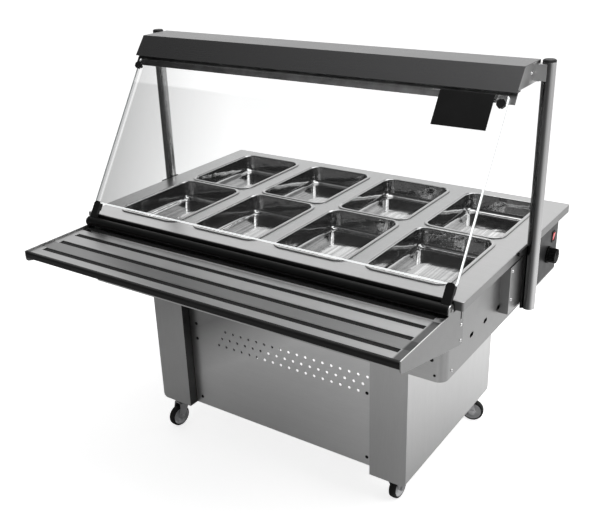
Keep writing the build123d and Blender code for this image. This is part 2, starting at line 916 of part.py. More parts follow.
def make_drain():
    """Ball valve on the end of the tank's drain stub, and the lever that turns it."""
    pipe_low = worktop_under - tank_depth - drain_length
    valve_low = pipe_low - valve_height
    bore = Circle(drain_bore / 2)
    section = Circle(valve_diameter / 2)
    valve = along_z(section, valve_low, pipe_low)
    valve = chamfer(valve.faces().filter_by(Plane.XY).edges(), (valve_diameter - drain_diameter) / 4)
    valve += along_z(Circle(drain_diameter / 2), valve_low - valve_outlet, valve_low)
    valve += along_y(Pos(0, valve_axis()) * Circle(stem_boss / 2), 0, stem_reach - castor_gap)
    valve -= along_z(bore, valve_low - valve_outlet, pipe_low)
    stem = Circle(stem_diameter / 2)
    seat = valve_diameter / 2
    valve -= along_y(Pos(0, valve_axis()) * Circle(stem_diameter / 2 + kingpin_fit), seat, stem_reach)
    lever = along_y(Pos(0, valve_axis()) * stem, seat + castor_gap, stem_reach)
    grip = Pos(lever_length / 2 - lever_width / 2, valve_axis()) * SlotOverall(lever_length, lever_width)
    lever += along_y(grip, stem_reach, stem_reach + lever_sheet)
    place = drain_place()
    return {"drain_valve": place * valve, "drain_lever": place * lever}


# Uprights and canopy


def upright_seat(clearance):
    """Round seat of the right upright on the floor plan."""
    return Pos(upright_x, upright_y) * Circle(upright_diameter / 2 + clearance)


def make_uprights():
    """Tube uprights with caps, on saddles that stand on folded brackets at the tub's sides."""
    wall = Pos(upright_x, upright_y) * Circle(upright_diameter / 2 - upright_wall)
    tube = along_z(upright_seat(0.0) - wall, upright_foot, upright_top)
    cap = along_z(upright_seat(0.0), upright_top, upright_top + cap_height)
    cap = chamfer(cap.faces().sort_by(Axis.Z)[-1].edges(), cap_bevel)
    channel = rectangle((tub_half, bracket_face), (bracket_front, bracket_rear))
    hollow = (bracket_front + bracket_sheet, bracket_rear - bracket_sheet)
    channel -= rectangle((tub_half, bracket_face - bracket_sheet), hollow)
    bracket = along_z(channel, bracket_low, worktop_height - bracket_top_drop)
    saddle = rectangle(
        (bracket_face, bracket_face + saddle_web + saddle_wrap),
        (upright_y - saddle_width / 2, upright_y + saddle_width / 2),
    )
    strip = along_z(saddle - upright_seat(0.0), upright_foot, worktop_height + saddle_rise)
    strip += saddle_wedge()
    return {
        "upright_left": mirror(tube, about=Plane.YZ),
        "upright_right": tube,
        "upright_caps": both_sides(cap),
        "upright_brackets": both_sides(bracket),
        "upright_saddles": both_sides(strip),
    }


def saddle_wedge():
    """Tapering arm of the right saddle, which runs forward over the worktop's lip."""
    rear = upright_y - saddle_width / 2
    tip = rear - saddle_arm_reach
    top = worktop_height + saddle_arm_rise
    low = worktop_height - saddle_arm_drop
    side = polygon(
        [(rear, low), (rear, worktop_height + saddle_rise), (tip, top), (tip, top - saddle_arm_tip)]
    )
    return along_x(side, bracket_face, bracket_face + saddle_arm)


def canopy_profile(inset):
    """Canopy's end profile in Y and Z, drawn in by the inset on its sloped, top and rear sides."""
    slope = math.atan2(canopy_rise, canopy_brow_run)
    front = canopy_front + inset / math.sin(slope)
    brow = front + (canopy_rise - inset) / math.tan(slope)
    top = canopy_top - inset
    rear = canopy_rear - inset
    return polygon([(front, canopy_low), (brow, top), (rear, top), (rear, canopy_low)])


def make_canopy():
    """Folded canopy, open below but for a return along its front, with recessed end plates."""
    shell = along_x(canopy_profile(0.0), -canopy_half, canopy_half)
    shell -= along_x(canopy_profile(canopy_sheet), -canopy_half, canopy_half)
    lip = rectangle((canopy_front, canopy_front + canopy_return), (canopy_low, canopy_low + canopy_sheet))
    shell += along_x(lip & canopy_profile(0.0), -canopy_half, canopy_half)
    cover = canopy_profile(canopy_sheet) - rectangle(
        (canopy_front, canopy_front + canopy_return), (canopy_low, canopy_low + canopy_sheet)
    )
    end = along_x(cover, canopy_end - canopy_sheet, canopy_end)
    middle = (canopy_low + canopy_top) / 2
    reach = (upright_y - canopy_bracket_front_reach, upright_y + canopy_bracket_rear_reach)
    arm_plan = rectangle((canopy_end, upright_x), reach) - upright_seat(0.0)
    arm = along_z(arm_plan, middle - canopy_bracket_height / 2, middle + canopy_bracket_height / 2)
    return {"canopy_shell": shell, "canopy_ends": both_sides(end), "canopy_brackets": both_sides(arm)}


# Glass


def glass_plane():
    """Plane of the glass: local X along the counter, local Y up the glass, Z out of its front."""
    return Plane(
        origin=(0, bar_y, bar_z), x_dir=(1, 0, 0), z_dir=(0, -math.cos(lean), math.sin(lean))
    )


def on_glass(section, back, front):
    """Section drawn on the glass plane, between two depths measured out of its front."""
    return glass_plane() * along_z(section, back, front)


def make_glass():
    """Front glass with its clamps, pivot bar, end plugs, sign plate and thumb knobs."""
    half = glass_thickness / 2
    sheet = RectangleRounded(2 * glass_half, glass_length, glass_corner)
    sheet = Pos(0, glass_start + glass_length / 2) * sheet
    for side in (-1, 1):
        sheet -= Pos(side * thumb_x, thumb_u) * Circle(stud_diameter / 2 + stud_glass_gap)
    bar_end = tub_half - bar_end_gap
    ring = Pos(bar_y, bar_z) * (Circle(bar_diameter / 2) - Circle(bar_diameter / 2 - bar_wall))
    bar = along_x(ring, -bar_end + plug_head, bar_end - plug_head)
    sign_top = glass_end - sign_top_gap
    sign = rectangle((sign_right - sign_width, sign_right), (sign_top - sign_height, sign_top))
    return {
        "front_glass": on_glass(sheet, -half, half),
        "pivot_bar": bar,
        "bar_plugs": both_sides(make_plug(bar_end)),
        "glass_clamps": both_sides(make_clamp()),
        "sign_plate": on_glass(sign, half, half + sign_thickness),
        "thumb_knob_left": mirror(make_thumb(), about=Plane.YZ),
        "thumb_knob_right": make_thumb(),
    }


def make_plug(bar_end):
    """Plug in the right end of the bar, with the journal that turns in the end plate."""
    centre = Pos(bar_y, bar_z)
    plug = along_x(centre * Circle(bar_diameter / 2), bar_end - plug_head, bar_end)
    plug += along_x(centre * Circle(bar_diameter / 2 - bar_wall), bar_end - plug_depth, bar_end - plug_head)
    plug += along_x(centre * Circle(journal_diameter / 2), bar_end, tub_half + end_sheet)
    return plug


def make_clamp():
    """Right-hand clamp: a rounded tab fixed on the bar, slotted for the lower edge of the glass."""
    top = glass_start + clamp_grip
    across = (clamp_x - clamp_width / 2, clamp_x + clamp_width / 2)
    tab = rectangle(across, (0, top))
    tab = rounded(tab, clamp_top_round, lambda corners: corners.group_by(Axis.Y)[-1])
    clamp = on_glass(tab, -clamp_thickness / 2, clamp_thickness / 2)
    clamp -= on_glass(rectangle(across, (0, clamp_neck)), -clamp_thickness / 2, -clamp_neck_rear)
    slot = rectangle((clamp_x - clamp_width, glass_half), (glass_start - clamp_slot_gap, top))
    clamp -= on_glass(slot, -glass_thickness / 2 - clamp_slot_gap, glass_thickness / 2 + clamp_slot_gap)
    return clamp - along_x(Pos(bar_y, bar_z) * Circle(bar_diameter / 2), 0, tub_half)


def make_thumb():
    """Right-hand thumb knob in front of the glass, with a stud through it and a nut behind."""
    half = glass_thickness / 2
    place = Pos(thumb_x, thumb_u)
    low = half + thumb_gap
    head = Circle(thumb_diameter / 2)
    flute = Pos(thumb_diameter / 2 + thumb_lobe_depth, 0) * Circle(2 * thumb_lobe_depth)
    for turn in range(thumb_lobes):
        head -= Rot(0, 0, turn * 360 / thumb_lobes) * flute
    knob = on_glass(place * head, low + thumb_neck, low + thumb_height)
    knob += on_glass(place * Circle(thumb_neck_diameter / 2), low, low + thumb_neck)
    back = -half - thumb_gap
    knob += on_glass(place * Circle(stud_diameter / 2), back, low)
    return knob + on_glass(place * Circle(stud_nut / 2), back - stud_nut_height, back)


def on_profile(up, out):
    """Y and Z of a point up the glass plane and out of its front."""
    y = bar_y + up * math.sin(lean) - out * math.cos(lean)
    z = bar_z + up * math.cos(lean) + out * math.sin(lean)
    return y, z


def at_height(height, out):
    """Y and Z where a line parallel to the glass, out of its front, reaches a height."""
    up = (height - bar_z - out * math.sin(lean)) / math.cos(lean)
    return on_profile(up, out)


def make_rail():
    """Rail behind the top of the glass, folded back under the canopy's front return."""
    near = -glass_thickness / 2 - rail_glass_gap
    far = near - rail_sheet
    start = glass_end - rail_drop
    back = canopy_front + canopy_return
    section = polygon(
        [
            on_profile(start, near),
            at_height(canopy_low, near),
            (back, canopy_low),
            (back, canopy_low - rail_sheet),
            at_height(canopy_low - rail_sheet, far),
            on_profile(start, far),
        ]
    )
    return {"glass_rail": along_x(section, -rail_half, rail_half)}


# Tray slide


def groove_places():
    """Y of each groove across the tray, rear to front."""
    return [front_y - groove_first_reach - step * groove_pitch for step in range(groove_count)]


def make_tray():
    """Tray plate with grooves pressed into it, the strips inlaid there and the rounded front trim."""
    sheet_low = tray_top - tray_sheet
    plate = rectangle((tray_front, tray_rear), (sheet_low, tray_top))
    plate += rectangle((tray_front, tray_front + tray_sheet), (tray_top - tray_lip, tray_top))
    plate += rectangle((tray_rear - tray_sheet, tray_rear), (tray_top - tray_lip, tray_top))
    tray = along_x(plate, -tub_half, tub_half)
    groove_half = tub_half - groove_end_gap
    groove_low = tray_top - groove_depth
    strips = []
    for y in groove_places():
        half = groove_width / 2
        outer_half = half + tray_sheet
        outer = rectangle((y - outer_half, y + outer_half), (groove_low - tray_sheet, sheet_low))
        inner = rectangle((y - half, y + half), (groove_low, tray_top))
        strip_half = half - strip_side_gap
        strip = rectangle((y - strip_half, y + strip_half), (groove_low, groove_low + strip_thickness))
        tray += along_x(outer, -groove_half - tray_sheet, groove_half + tray_sheet)
        tray -= along_x(inner, -groove_half, groove_half)
        strips += along_x(strip, -groove_half + strip_side_gap, groove_half - strip_side_gap).solids()
    trim = rounded(
        rectangle((tray_front - trim_thickness, tray_front), (tray_top - trim_height, tray_top)),
        trim_round,
        lambda corners: corners.group_by(Axis.X)[0],
    )
    return {
        "tray_plate": tray,
        "tray_strips": Compound(strips),
        "tray_trim": along_x(trim, -tub_half, tub_half),
    }


def make_tray_ends():
    """End plates screwed to the tub's sides, which carry the tray and the pivot bar's journals."""
    front = tray_front - trim_thickness
    rear = front_y + end_rear_setback
    ear_rear = bar_y + end_ear_radius
    edge = tray_top + end_rise
    top = worktop_height - worktop_lip - end_top_drop
    outline = polygon(
        [
            (front, edge),
            (front, tray_top - end_front_height),
            (rear - end_ear_radius, worktop_height - end_rear_drop),
            (rear, worktop_height - end_rear_drop),
            (rear, top),
            (ear_rear, top),
            (bar_y - end_ear_radius, edge),
        ]
    )
    outline = fillet(outline.vertices().sort_by(Axis.X)[:2].sort_by(Axis.Y)[0], end_corner)
    outline += Pos(bar_y, bar_z) * Circle(end_ear_radius)
    outline -= Pos(bar_y, bar_z) * Circle(journal_diameter / 2 + journal_fit)
    slot = Pos(rear - end_slot_inset, top - end_slot_inset - end_slot_length / 2)
    outline -= slot * SlotOverall(end_slot_length, end_slot_height, rotation=90)
    return {"tray_ends": both_sides(along_x(outline, tub_half, tub_half + end_sheet))}


def panel_screws():
    """X and Z of the screws on the front panel: two low, three beside the vents."""
    edge = leg_span / 2 - panel_screw_inset
    low = castor_height + panel_floor_gap + panel_screw_inset
    top_row = tub_bottom - vent_drop
    last_row = top_row - (vent_rows - 1) * vent_pitch_z
    return [(-edge, low), (edge, low), (-edge, top_row), (-edge, last_row), (edge, last_row)]


def side_screws():
    """X, Y and Z of the screws on the right-hand side: end plate, upright bracket and canopy end."""
    end_rear = front_y + end_rear_setback
    end_y = end_rear - side_screw_inset
    end_z = worktop_height - end_rear_drop + side_screw_inset
    bracket_y = bracket_front + side_screw_inset
    bracket_z = worktop_height - bracket_top_drop - side_screw_inset
    corner_y = tub_front + tub_corner + corner_screw_inset
    canopy_y = upright_y - canopy_bracket_front_reach - side_screw_inset
    return [
        (tub_half + end_sheet, end_y, end_z),
        (tub_half + end_sheet, end_y, end_z + side_screw_pitch),
        (tub_half, end_rear + side_screw_inset, end_z + 2 * side_screw_pitch),
        (bracket_face, bracket_y, bracket_z),
        (bracket_face, bracket_y, bracket_z - bracket_screw_pitch),
        (tub_half, corner_y, tub_bottom + corner_screw_inset),
        (canopy_end, canopy_y, (canopy_low + canopy_top) / 2),
    ]


def make_screws():
    """Screw heads of the front panel, end plates, upright brackets and canopy ends."""
    panel = Plane(origin=(0, panel_front, 0), x_dir=(1, 0, 0), z_dir=(0, -1, 0))
    solids = []
    for x, z in panel_screws():
        solids += dome(panel * Pos(x, z, 0)).solids()
    for place in side_screws():
        side = Plane(origin=place, x_dir=(0, 1, 0), z_dir=(1, 0, 0))
        solids += both_sides(dome(side * Pos(0, 0, 0))).solids()
    return {"dome_screws": Compound(solids)}


def main():
    """Builds every piece and writes one file for each."""
    nodes = {}
    for make in (
        make_legs,
        make_front_panel,
        make_castors,
        make_pans,
        make_worktop,
        make_tub,
        make_tank,
        make_element,
        make_supports,
        make_thermowell,
        make_controls,
        make_gland,
        make_drain,
        make_uprights,
        make_canopy,
        make_glass,
        make_rail,
        make_tray,
        make_tray_ends,
        make_screws,
    ):
        nodes.update(make())
    os.makedirs("parts", exist_ok=True)
    for name, shape in nodes.items():
        export_step(shape, f"parts/{name}.step")


if __name__ == "__main__":
    main()
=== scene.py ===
"""Looks of the bain marie counter: finishes for every node, smooth pressings and wheels, and the studio."""

import json
import logging
import math
from collections.abc import Iterable, Sequence
from dataclasses import dataclass, replace
from enum import Enum
from functools import cache

import bmesh
import bpy
from mathutils import Matrix, Vector
from mathutils.geometry import delaunay_2d_cdt


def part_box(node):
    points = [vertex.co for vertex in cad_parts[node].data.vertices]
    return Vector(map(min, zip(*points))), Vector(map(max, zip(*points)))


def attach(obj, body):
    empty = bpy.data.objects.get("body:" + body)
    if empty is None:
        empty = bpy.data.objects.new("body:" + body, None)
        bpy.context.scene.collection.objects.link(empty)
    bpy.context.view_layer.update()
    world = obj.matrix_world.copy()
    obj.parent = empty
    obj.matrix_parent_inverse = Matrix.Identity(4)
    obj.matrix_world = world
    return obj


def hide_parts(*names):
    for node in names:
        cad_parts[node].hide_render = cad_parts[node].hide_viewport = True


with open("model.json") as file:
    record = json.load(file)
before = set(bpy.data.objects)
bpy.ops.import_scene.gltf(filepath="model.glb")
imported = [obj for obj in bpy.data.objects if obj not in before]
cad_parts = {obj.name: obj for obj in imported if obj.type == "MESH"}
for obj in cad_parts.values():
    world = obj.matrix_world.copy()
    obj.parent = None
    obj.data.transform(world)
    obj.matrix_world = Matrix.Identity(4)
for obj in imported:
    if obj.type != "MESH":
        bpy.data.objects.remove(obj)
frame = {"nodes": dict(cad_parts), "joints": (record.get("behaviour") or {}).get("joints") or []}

LOG = logging.getLogger("counter")
ROOT_BODY = "counter"

SHARP_ANGLE = math.radians(35)
WELD_REACH = 1e-5
SHEET_REACH = 1e-7
HOLE_CORE = 0.98
MATCH_DIGITS = 5

Colour = tuple[float, float, float]
Direction = tuple[float, float, float]
Point = tuple[float, float]
Range = tuple[float, float]
Socket = bpy.types.NodeSocket

RIGHT = (1.0, 0.0, 0.0)
LEFT = (-1.0, 0.0, 0.0)
FRONT = (0.0, -1.0, 0.0)
REAR = (0.0, 1.0, 0.0)
UP = (0.0, 0.0, 1.0)


def grey(tone: float) -> Colour:
    """Neutral colour of a tone."""
    return (tone, tone, tone)


def shade(colour: Colour, factor: float) -> Colour:
    """Colour made lighter or darker by a factor."""
    return tuple(min(1.0, part * factor) for part in colour)


WHITE = grey(1.0)


class Grain(Enum):
    """Direction in which a sheet is brushed, as the stretch of its line pattern."""

    ALONG_X = (0.02, 1.0, 1.0)
    ALONG_Y = (1.0, 0.02, 1.0)
    UPRIGHT = (1.0, 1.0, 0.02)


class Guide(Enum):
    """What a fade of tone follows, as an output of the texture coordinates."""

    PLACE = "Object"
    FACING = "Normal"


@dataclass(frozen=True)
class Fade:
    """Change of tone along a direction, over the surface or with the way that it faces; each fade here is
    painted light and shade.
    """

    direction: Direction
    start: float
    end: float
    tone: float
    guide: Guide = Guide.PLACE


def facing(direction: Direction, tone: float, start: float = 0.3, end: float = 0.9) -> Fade:
    """Fade that follows how far a surface faces a direction, for painted light and shade by facing."""
    return Fade(direction, start, end, tone, Guide.FACING)


class Wiring:
    """Adds shader nodes to one node tree and joins them."""

    def __init__(self, tree: bpy.types.NodeTree) -> None:
        """Keeps the tree that the nodes go into."""
        self.tree = tree

    @classmethod
    def fresh(cls, owner: bpy.types.Material | bpy.types.World) -> "Wiring":
        """Empties the tree of a material or a world.

        Args:
            owner: Material or world.

        Returns:
            Wiring of its tree.
        """
        owner.use_nodes = True
        owner.node_tree.nodes.clear()
        return cls(owner.node_tree)

    def feed(self, socket: Socket, value: object) -> None:
        """Joins an output to a socket, or sets the socket's own value.

        Args:
            socket: Input to fill.
            value: Output socket, number, vector, or colour with or without its alpha.
        """
        if isinstance(value, bpy.types.NodeSocket):
            self.tree.links.new(value, socket)
        elif socket.type == "RGBA" and len(value) == 3:
            socket.default_value = (*value, 1.0)
        else:
            socket.default_value = value

    def add(self, kind: str, inputs: dict | None = None, **options: object) -> bpy.types.Node:
        """Adds a node, sets its options and fills its inputs.

        Args:
            kind: Name of the node type.
            inputs: Value or output socket for each input, by name or index.
            **options: Settings of the node itself.

        Returns:
            The new node.
        """
        node = self.tree.nodes.new(kind)
        for option, value in options.items():
            setattr(node, option, value)
        for key, value in (inputs or {}).items():
            self.feed(node.inputs[key], value)
        return node

    def effect(self, tree: bpy.types.NodeTree, **inputs: object) -> bpy.types.NodeOutputs:
        """Outputs of a shared effect, placed with its named inputs filled."""
        return self.add("ShaderNodeGroup", inputs, node_tree=tree).outputs

    def mix(self, factor: object, low: object, high: object) -> Socket:
        """Blends two colours by a factor."""
        return self.add("ShaderNodeMix", {0: factor, 6: low, 7: high}, data_type="RGBA").outputs[2]

    def between(self, factor: object, low: object, high: object) -> Socket:
        """Blends two numbers by a factor."""
        return self.add("ShaderNodeMix", {0: factor, 2: low, 3: high}).outputs[0]

    def maths(self, operation: str, first: object, second: object = 0.0) -> Socket:
        """Result of one operation on two numbers."""
        return self.add("ShaderNodeMath", {0: first, 1: second}, operation=operation).outputs[0]

    def dot(self, first: object, second: object) -> Socket:
        """Dot product of two vectors."""
        node = self.add("ShaderNodeVectorMath", {0: first, 1: second}, operation="DOT_PRODUCT")
        return node.outputs["Value"]

    def span(self, value: object, low: object, high: object) -> Socket:
        """Spreads a number from 0 to 1 over the range from low to high."""
        return self.add("ShaderNodeMapRange", {0: value, 3: low, 4: high}).outputs[0]

    def pick(self, value: object, start: object, end: object) -> Socket:
        """Mask that rises from 0 to 1 as a number goes from start to end."""
        return self.add("ShaderNodeMapRange", {0: value, 1: start, 2: end}).outputs[0]

    def noise(self, place: object, scale: object, detail: float = 2.0, distortion: float = 0.0) -> Socket:
        """Noise from 0 to 1 at a scale per metre."""
        inputs = {"Vector": place, "Scale": scale, "Detail": detail, "Distortion": distortion}
        return self.add("ShaderNodeTexNoise", inputs).outputs[0]

    def place(self) -> Socket:
        """Point on the surface in the piece's own coordinates, in metres."""
        return self.add("ShaderNodeTexCoord").outputs[Guide.PLACE.value]

    def faded(self, colour: Socket, fades: Iterable[Fade]) -> Socket:
        """Lays fades of painted light and shade over a colour.

        Args:
            colour: Colour to start from.
            fades: Fades, each laid over the last.

        Returns:
            The faded colour.
        """
        for fade in fades:
            guide = self.add("ShaderNodeTexCoord").outputs[fade.guide.value]
            settings = {"Direction": fade.direction, "Start": fade.start, "End": fade.end, "Tone": fade.tone}
            tone = self.effect(Effects.fade(), Guide=guide, **settings)["Shade"]
            layers = {0: 1.0, 6: colour, 7: tone}
            colour = self.add("ShaderNodeMix", layers, data_type="RGBA", blend_type="MULTIPLY").outputs[2]
        return colour


class Effects:
    """Node groups that several finishes share, each built once."""

    main_share = 0.7
    streak_range = (0.3, 0.7)
    patch_range = (0.35, 0.65)
    patch_detail = 7.0
    edge_range = (0.995, 0.8)
    drift_scale = 18.0
    drop_radius = 0.3
    drop_width = 0.05
    splash_scale = 14.0
    splash_range = (0.5, 0.65)

    @staticmethod
    def start(name: str, inputs: dict, outputs: dict) -> tuple[Wiring, bpy.types.NodeOutputs, bpy.types.Node]:
        """Opens a node group with named sockets.

        Args:
            name: Name of the group.
            inputs: Default of each input; three numbers make it a vector.
            outputs: Kind of socket of each output.

        Returns:
            Wiring of the group, the outputs of its entry, and its exit node.
        """
        tree = bpy.data.node_groups.new(name, "ShaderNodeTree")
        for label, default in inputs.items():
            kind = "NodeSocketVector" if isinstance(default, tuple) else "NodeSocketFloat"
            socket = tree.interface.new_socket(label, in_out="INPUT", socket_type=kind)
            socket.default_value = default
        for label, kind in outputs.items():
            tree.interface.new_socket(label, in_out="OUTPUT", socket_type=kind)
        wiring = Wiring(tree)
        return wiring, wiring.add("NodeGroupInput").outputs, wiring.add("NodeGroupOutput")

    @classmethod
    @cache
    def brushed_lines(cls) -> bpy.types.NodeTree:
        """Makes fine drawn lines with broader streaks among them, along the stretched direction.

        Returns:
            The node group.
        """
        wiring, entry, end = cls.start(
            "brushed_lines",
            {"Stretch": Grain.ALONG_X.value, "Lines": 1100.0, "Streaks": 40.0},
            {"Streak": "NodeSocketFloat", "Height": "NodeSocketFloat"},
        )
        place = wiring.place()
        drawn = wiring.add("ShaderNodeVectorMath", {0: place, 1: entry["Stretch"]}, operation="MULTIPLY")
        lines = wiring.noise(drawn.outputs[0], entry["Lines"])
        broad = wiring.noise(drawn.outputs[0], entry["Streaks"], detail=3.0)
        both = wiring.between(cls.main_share, broad, lines)
        wiring.feed(end.inputs["Streak"], wiring.pick(both, *cls.streak_range))
        wiring.feed(end.inputs["Height"], lines)
        return wiring.tree

    @classmethod
    @cache
    def smudge(cls) -> bpy.types.NodeTree:
        """Makes cloudy patches, as from wiping and handling.

        Returns:
            The node group.
        """
        wiring, entry, end = cls.start("smudge", {"Scale": 5.0}, {"Patch": "NodeSocketFloat"})
        place = wiring.place()
        wide = wiring.noise(place, entry["Scale"], detail=3.0, distortion=0.6)
        finer = wiring.maths("MULTIPLY", entry["Scale"], cls.patch_detail)
        close = wiring.noise(place, finer, distortion=0.3)
        both = wiring.between(cls.main_share, close, wide)
        wiring.feed(end.inputs["Patch"], wiring.pick(both, *cls.patch_range))
        return wiring.tree

    @classmethod
    @cache
    def soft_edge(cls) -> bpy.types.NodeTree:
        """Makes a rounded normal along sharp edges, and a mask of those edges.

        Returns:
            The node group.
        """
        wiring, entry, end = cls.start(
            "soft_edge", {"Radius": 0.001}, {"Edge": "NodeSocketFloat", "Normal": "NodeSocketVector"}
        )
        rounded = wiring.add("ShaderNodeBevel", {"Radius": entry["Radius"]}, samples=4).outputs[0]
        match = wiring.dot(rounded, wiring.add("ShaderNodeNewGeometry").outputs["Normal"])
        wiring.feed(end.inputs["Edge"], wiring.pick(match, *cls.edge_range))
        wiring.feed(end.inputs["Normal"], rounded)
        return wiring.tree

    @classmethod
    @cache
    def speckle(cls) -> bpy.types.NodeTree:
        """Makes the fine even grain of paint and moulded plastic, with a slow drift of tone.

        Returns:
            The node group.
        """
        wiring, entry, end = cls.start(
            "speckle", {"Scale": 1500.0}, {"Grain": "NodeSocketFloat", "Drift": "NodeSocketFloat"}
        )
        place = wiring.place()
        wiring.feed(end.inputs["Grain"], wiring.noise(place, entry["Scale"], detail=3.0))
        slow = wiring.noise(place, cls.drift_scale, detail=3.0)
        wiring.feed(end.inputs["Drift"], wiring.pick(slow, *cls.patch_range))
        return wiring.tree

    @classmethod
    @cache
    def fade(cls) -> bpy.types.NodeTree:
        """Makes a tone that goes from plain to a given share along a direction, for painted light and shade.

        Returns:
            The node group.
        """
        wiring, entry, end = cls.start(
            "fade",
            {"Guide": (0.0, 0.0, 0.0), "Direction": RIGHT, "Start": 0.0, "End": 1.0, "Tone": 1.0},
            {"Shade": "NodeSocketFloat"},
        )
        step = wiring.pick(wiring.dot(entry["Guide"], entry["Direction"]), entry["Start"], entry["End"])
        wiring.feed(end.inputs["Shade"], wiring.span(step, 1.0, entry["Tone"]))
        return wiring.tree

    @classmethod
    @cache
    def water_marks(cls) -> bpy.types.NodeTree:
        """Makes faint dried rings left by drops of water.

        Returns:
            The node group.
        """
        wiring, entry, end = cls.start("water_marks", {"Scale": 45.0}, {"Ring": "NodeSocketFloat"})
        drops = {"Vector": wiring.place(), "Scale": entry["Scale"], "Randomness": 1.0}
        distance = wiring.add("ShaderNodeTexVoronoi", drops).outputs["Distance"]
        off = wiring.maths("ABSOLUTE", wiring.maths("SUBTRACT", distance, cls.drop_radius))
        ring = wiring.pick(off, cls.drop_width, 0.0)
        splash = wiring.pick(wiring.noise(wiring.place(), cls.splash_scale), *cls.splash_range)
        wiring.feed(end.inputs["Ring"], wiring.maths("MULTIPLY", ring, splash))
        return wiring.tree


@dataclass(frozen=True)
class Finish:
    """Surface of one kind of piece; its material is made once.

    Its tones are shares of its colour, and its wear is how far its roughness goes down and up.
    """

    name: str
    colour: Colour
    roughness: float
    # Fades of painted light and shade over the base colour.
    fades: tuple[Fade, ...] = ()
    tones: Range = (1.0, 1.0)
    wear: Range = (0.0, 0.1)

    @cache
    def material(self) -> bpy.types.Material:
        """Makes the material of this finish.

        Returns:
            The material, the same one each time.
        """
        material = bpy.data.materials.new(self.name)
        wiring = Wiring.fresh(material)
        shader = wiring.add("ShaderNodeBsdfPrincipled", {"Roughness": self.roughness})
        inputs = self.layers(wiring)
        # The fades paint light and shade into the base colour.
        inputs["Base Color"] = wiring.faded(inputs["Base Color"], self.fades)
        for label, value in inputs.items():
            wiring.feed(shader.inputs[label], value)
        wiring.add("ShaderNodeOutputMaterial", {"Surface": self.shown(wiring, shader.outputs[0])})
        return material

    def layers(self, wiring: Wiring) -> dict[str, object]:
        """Inputs of the shader, by name."""
        raise NotImplementedError

    def shown(self, wiring: Wiring, surface: Socket) -> Socket:
        """Surface to show, which is the shader's own unless a finish adds to it."""
        return surface

    def toned(self, wiring: Wiring, mask: Socket, tones: Range) -> Socket:
        """Colour that goes between two shades of the finish's own with a mask."""
        return wiring.mix(mask, *(shade(self.colour, tone) for tone in tones))

    def worn(self, wiring: Wiring, mask: Socket) -> Socket:
        """Roughness that goes over the range of the wear with a mask."""
        return wiring.span(mask, self.roughness - self.wear[0], self.roughness + self.wear[1])


@dataclass(frozen=True)
class EdgedFinish(Finish):
    """Finish with a fine relief and sharp edges that are softened, and paler partly as wear and partly as a
    painted highlight.
    """

    edge_radius: float = 0.0012
    edge_light: float = 1.3
    depth: float = 0.06
    relief: float = 0.0003

    def edged(self, wiring: Wiring, tone: Socket, rough: Socket, height: Socket) -> dict[str, object]:
        """Lays the paler edges, part wear and part painted highlight, and the relief over a surface.

        Args:
            wiring: Wiring of the material.
            tone: Colour of the surface.
            rough: Roughness of the surface.
            height: Height of its relief.

        Returns:
            Inputs of the shader.
        """
        edge = wiring.effect(Effects.soft_edge(), Radius=self.edge_radius)
        relief = {"Strength": self.depth, "Distance": self.relief, "Height": height, "Normal": edge["Normal"]}
        # Edges paler by the edge light: partly wear, partly a painted highlight.
        return {
            "Base Color": wiring.mix(edge["Edge"], tone, shade(self.colour, self.edge_light)),
            "Roughness": rough,
            "Normal": wiring.add("ShaderNodeBump", relief).outputs[0],
        }


@dataclass(frozen=True)
class BrushedSteel(EdgedFinish):
    """Stainless sheet with drawn lines, wiped patches and bright edges, partly wear and partly a painted
    highlight.
    """

    tones: Range = (0.96, 1.04)
    wear: Range = (0.01, 0.02)
    grain: Grain = Grain.ALONG_X
    patch_scale: float = 4.0
    line_polish: float = 0.02

    def layers(self, wiring: Wiring) -> dict[str, object]:
        """Sets up drawn lines in tone, roughness and relief.

        Args:
            wiring: Wiring of the material.

        Returns:
            Inputs of the shader.
        """
        lines = wiring.effect(Effects.brushed_lines(), Stretch=self.grain.value)
        patch = wiring.effect(Effects.smudge(), Scale=self.patch_scale)["Patch"]
        tone = self.toned(wiring, lines["Streak"], self.tones)
        polish = wiring.span(lines["Streak"], self.line_polish, -self.line_polish)
        rough = wiring.maths("ADD", self.worn(wiring, patch), polish)
        return {**self.edged(wiring, tone, rough, lines["Height"]), "Metallic": 1.0}


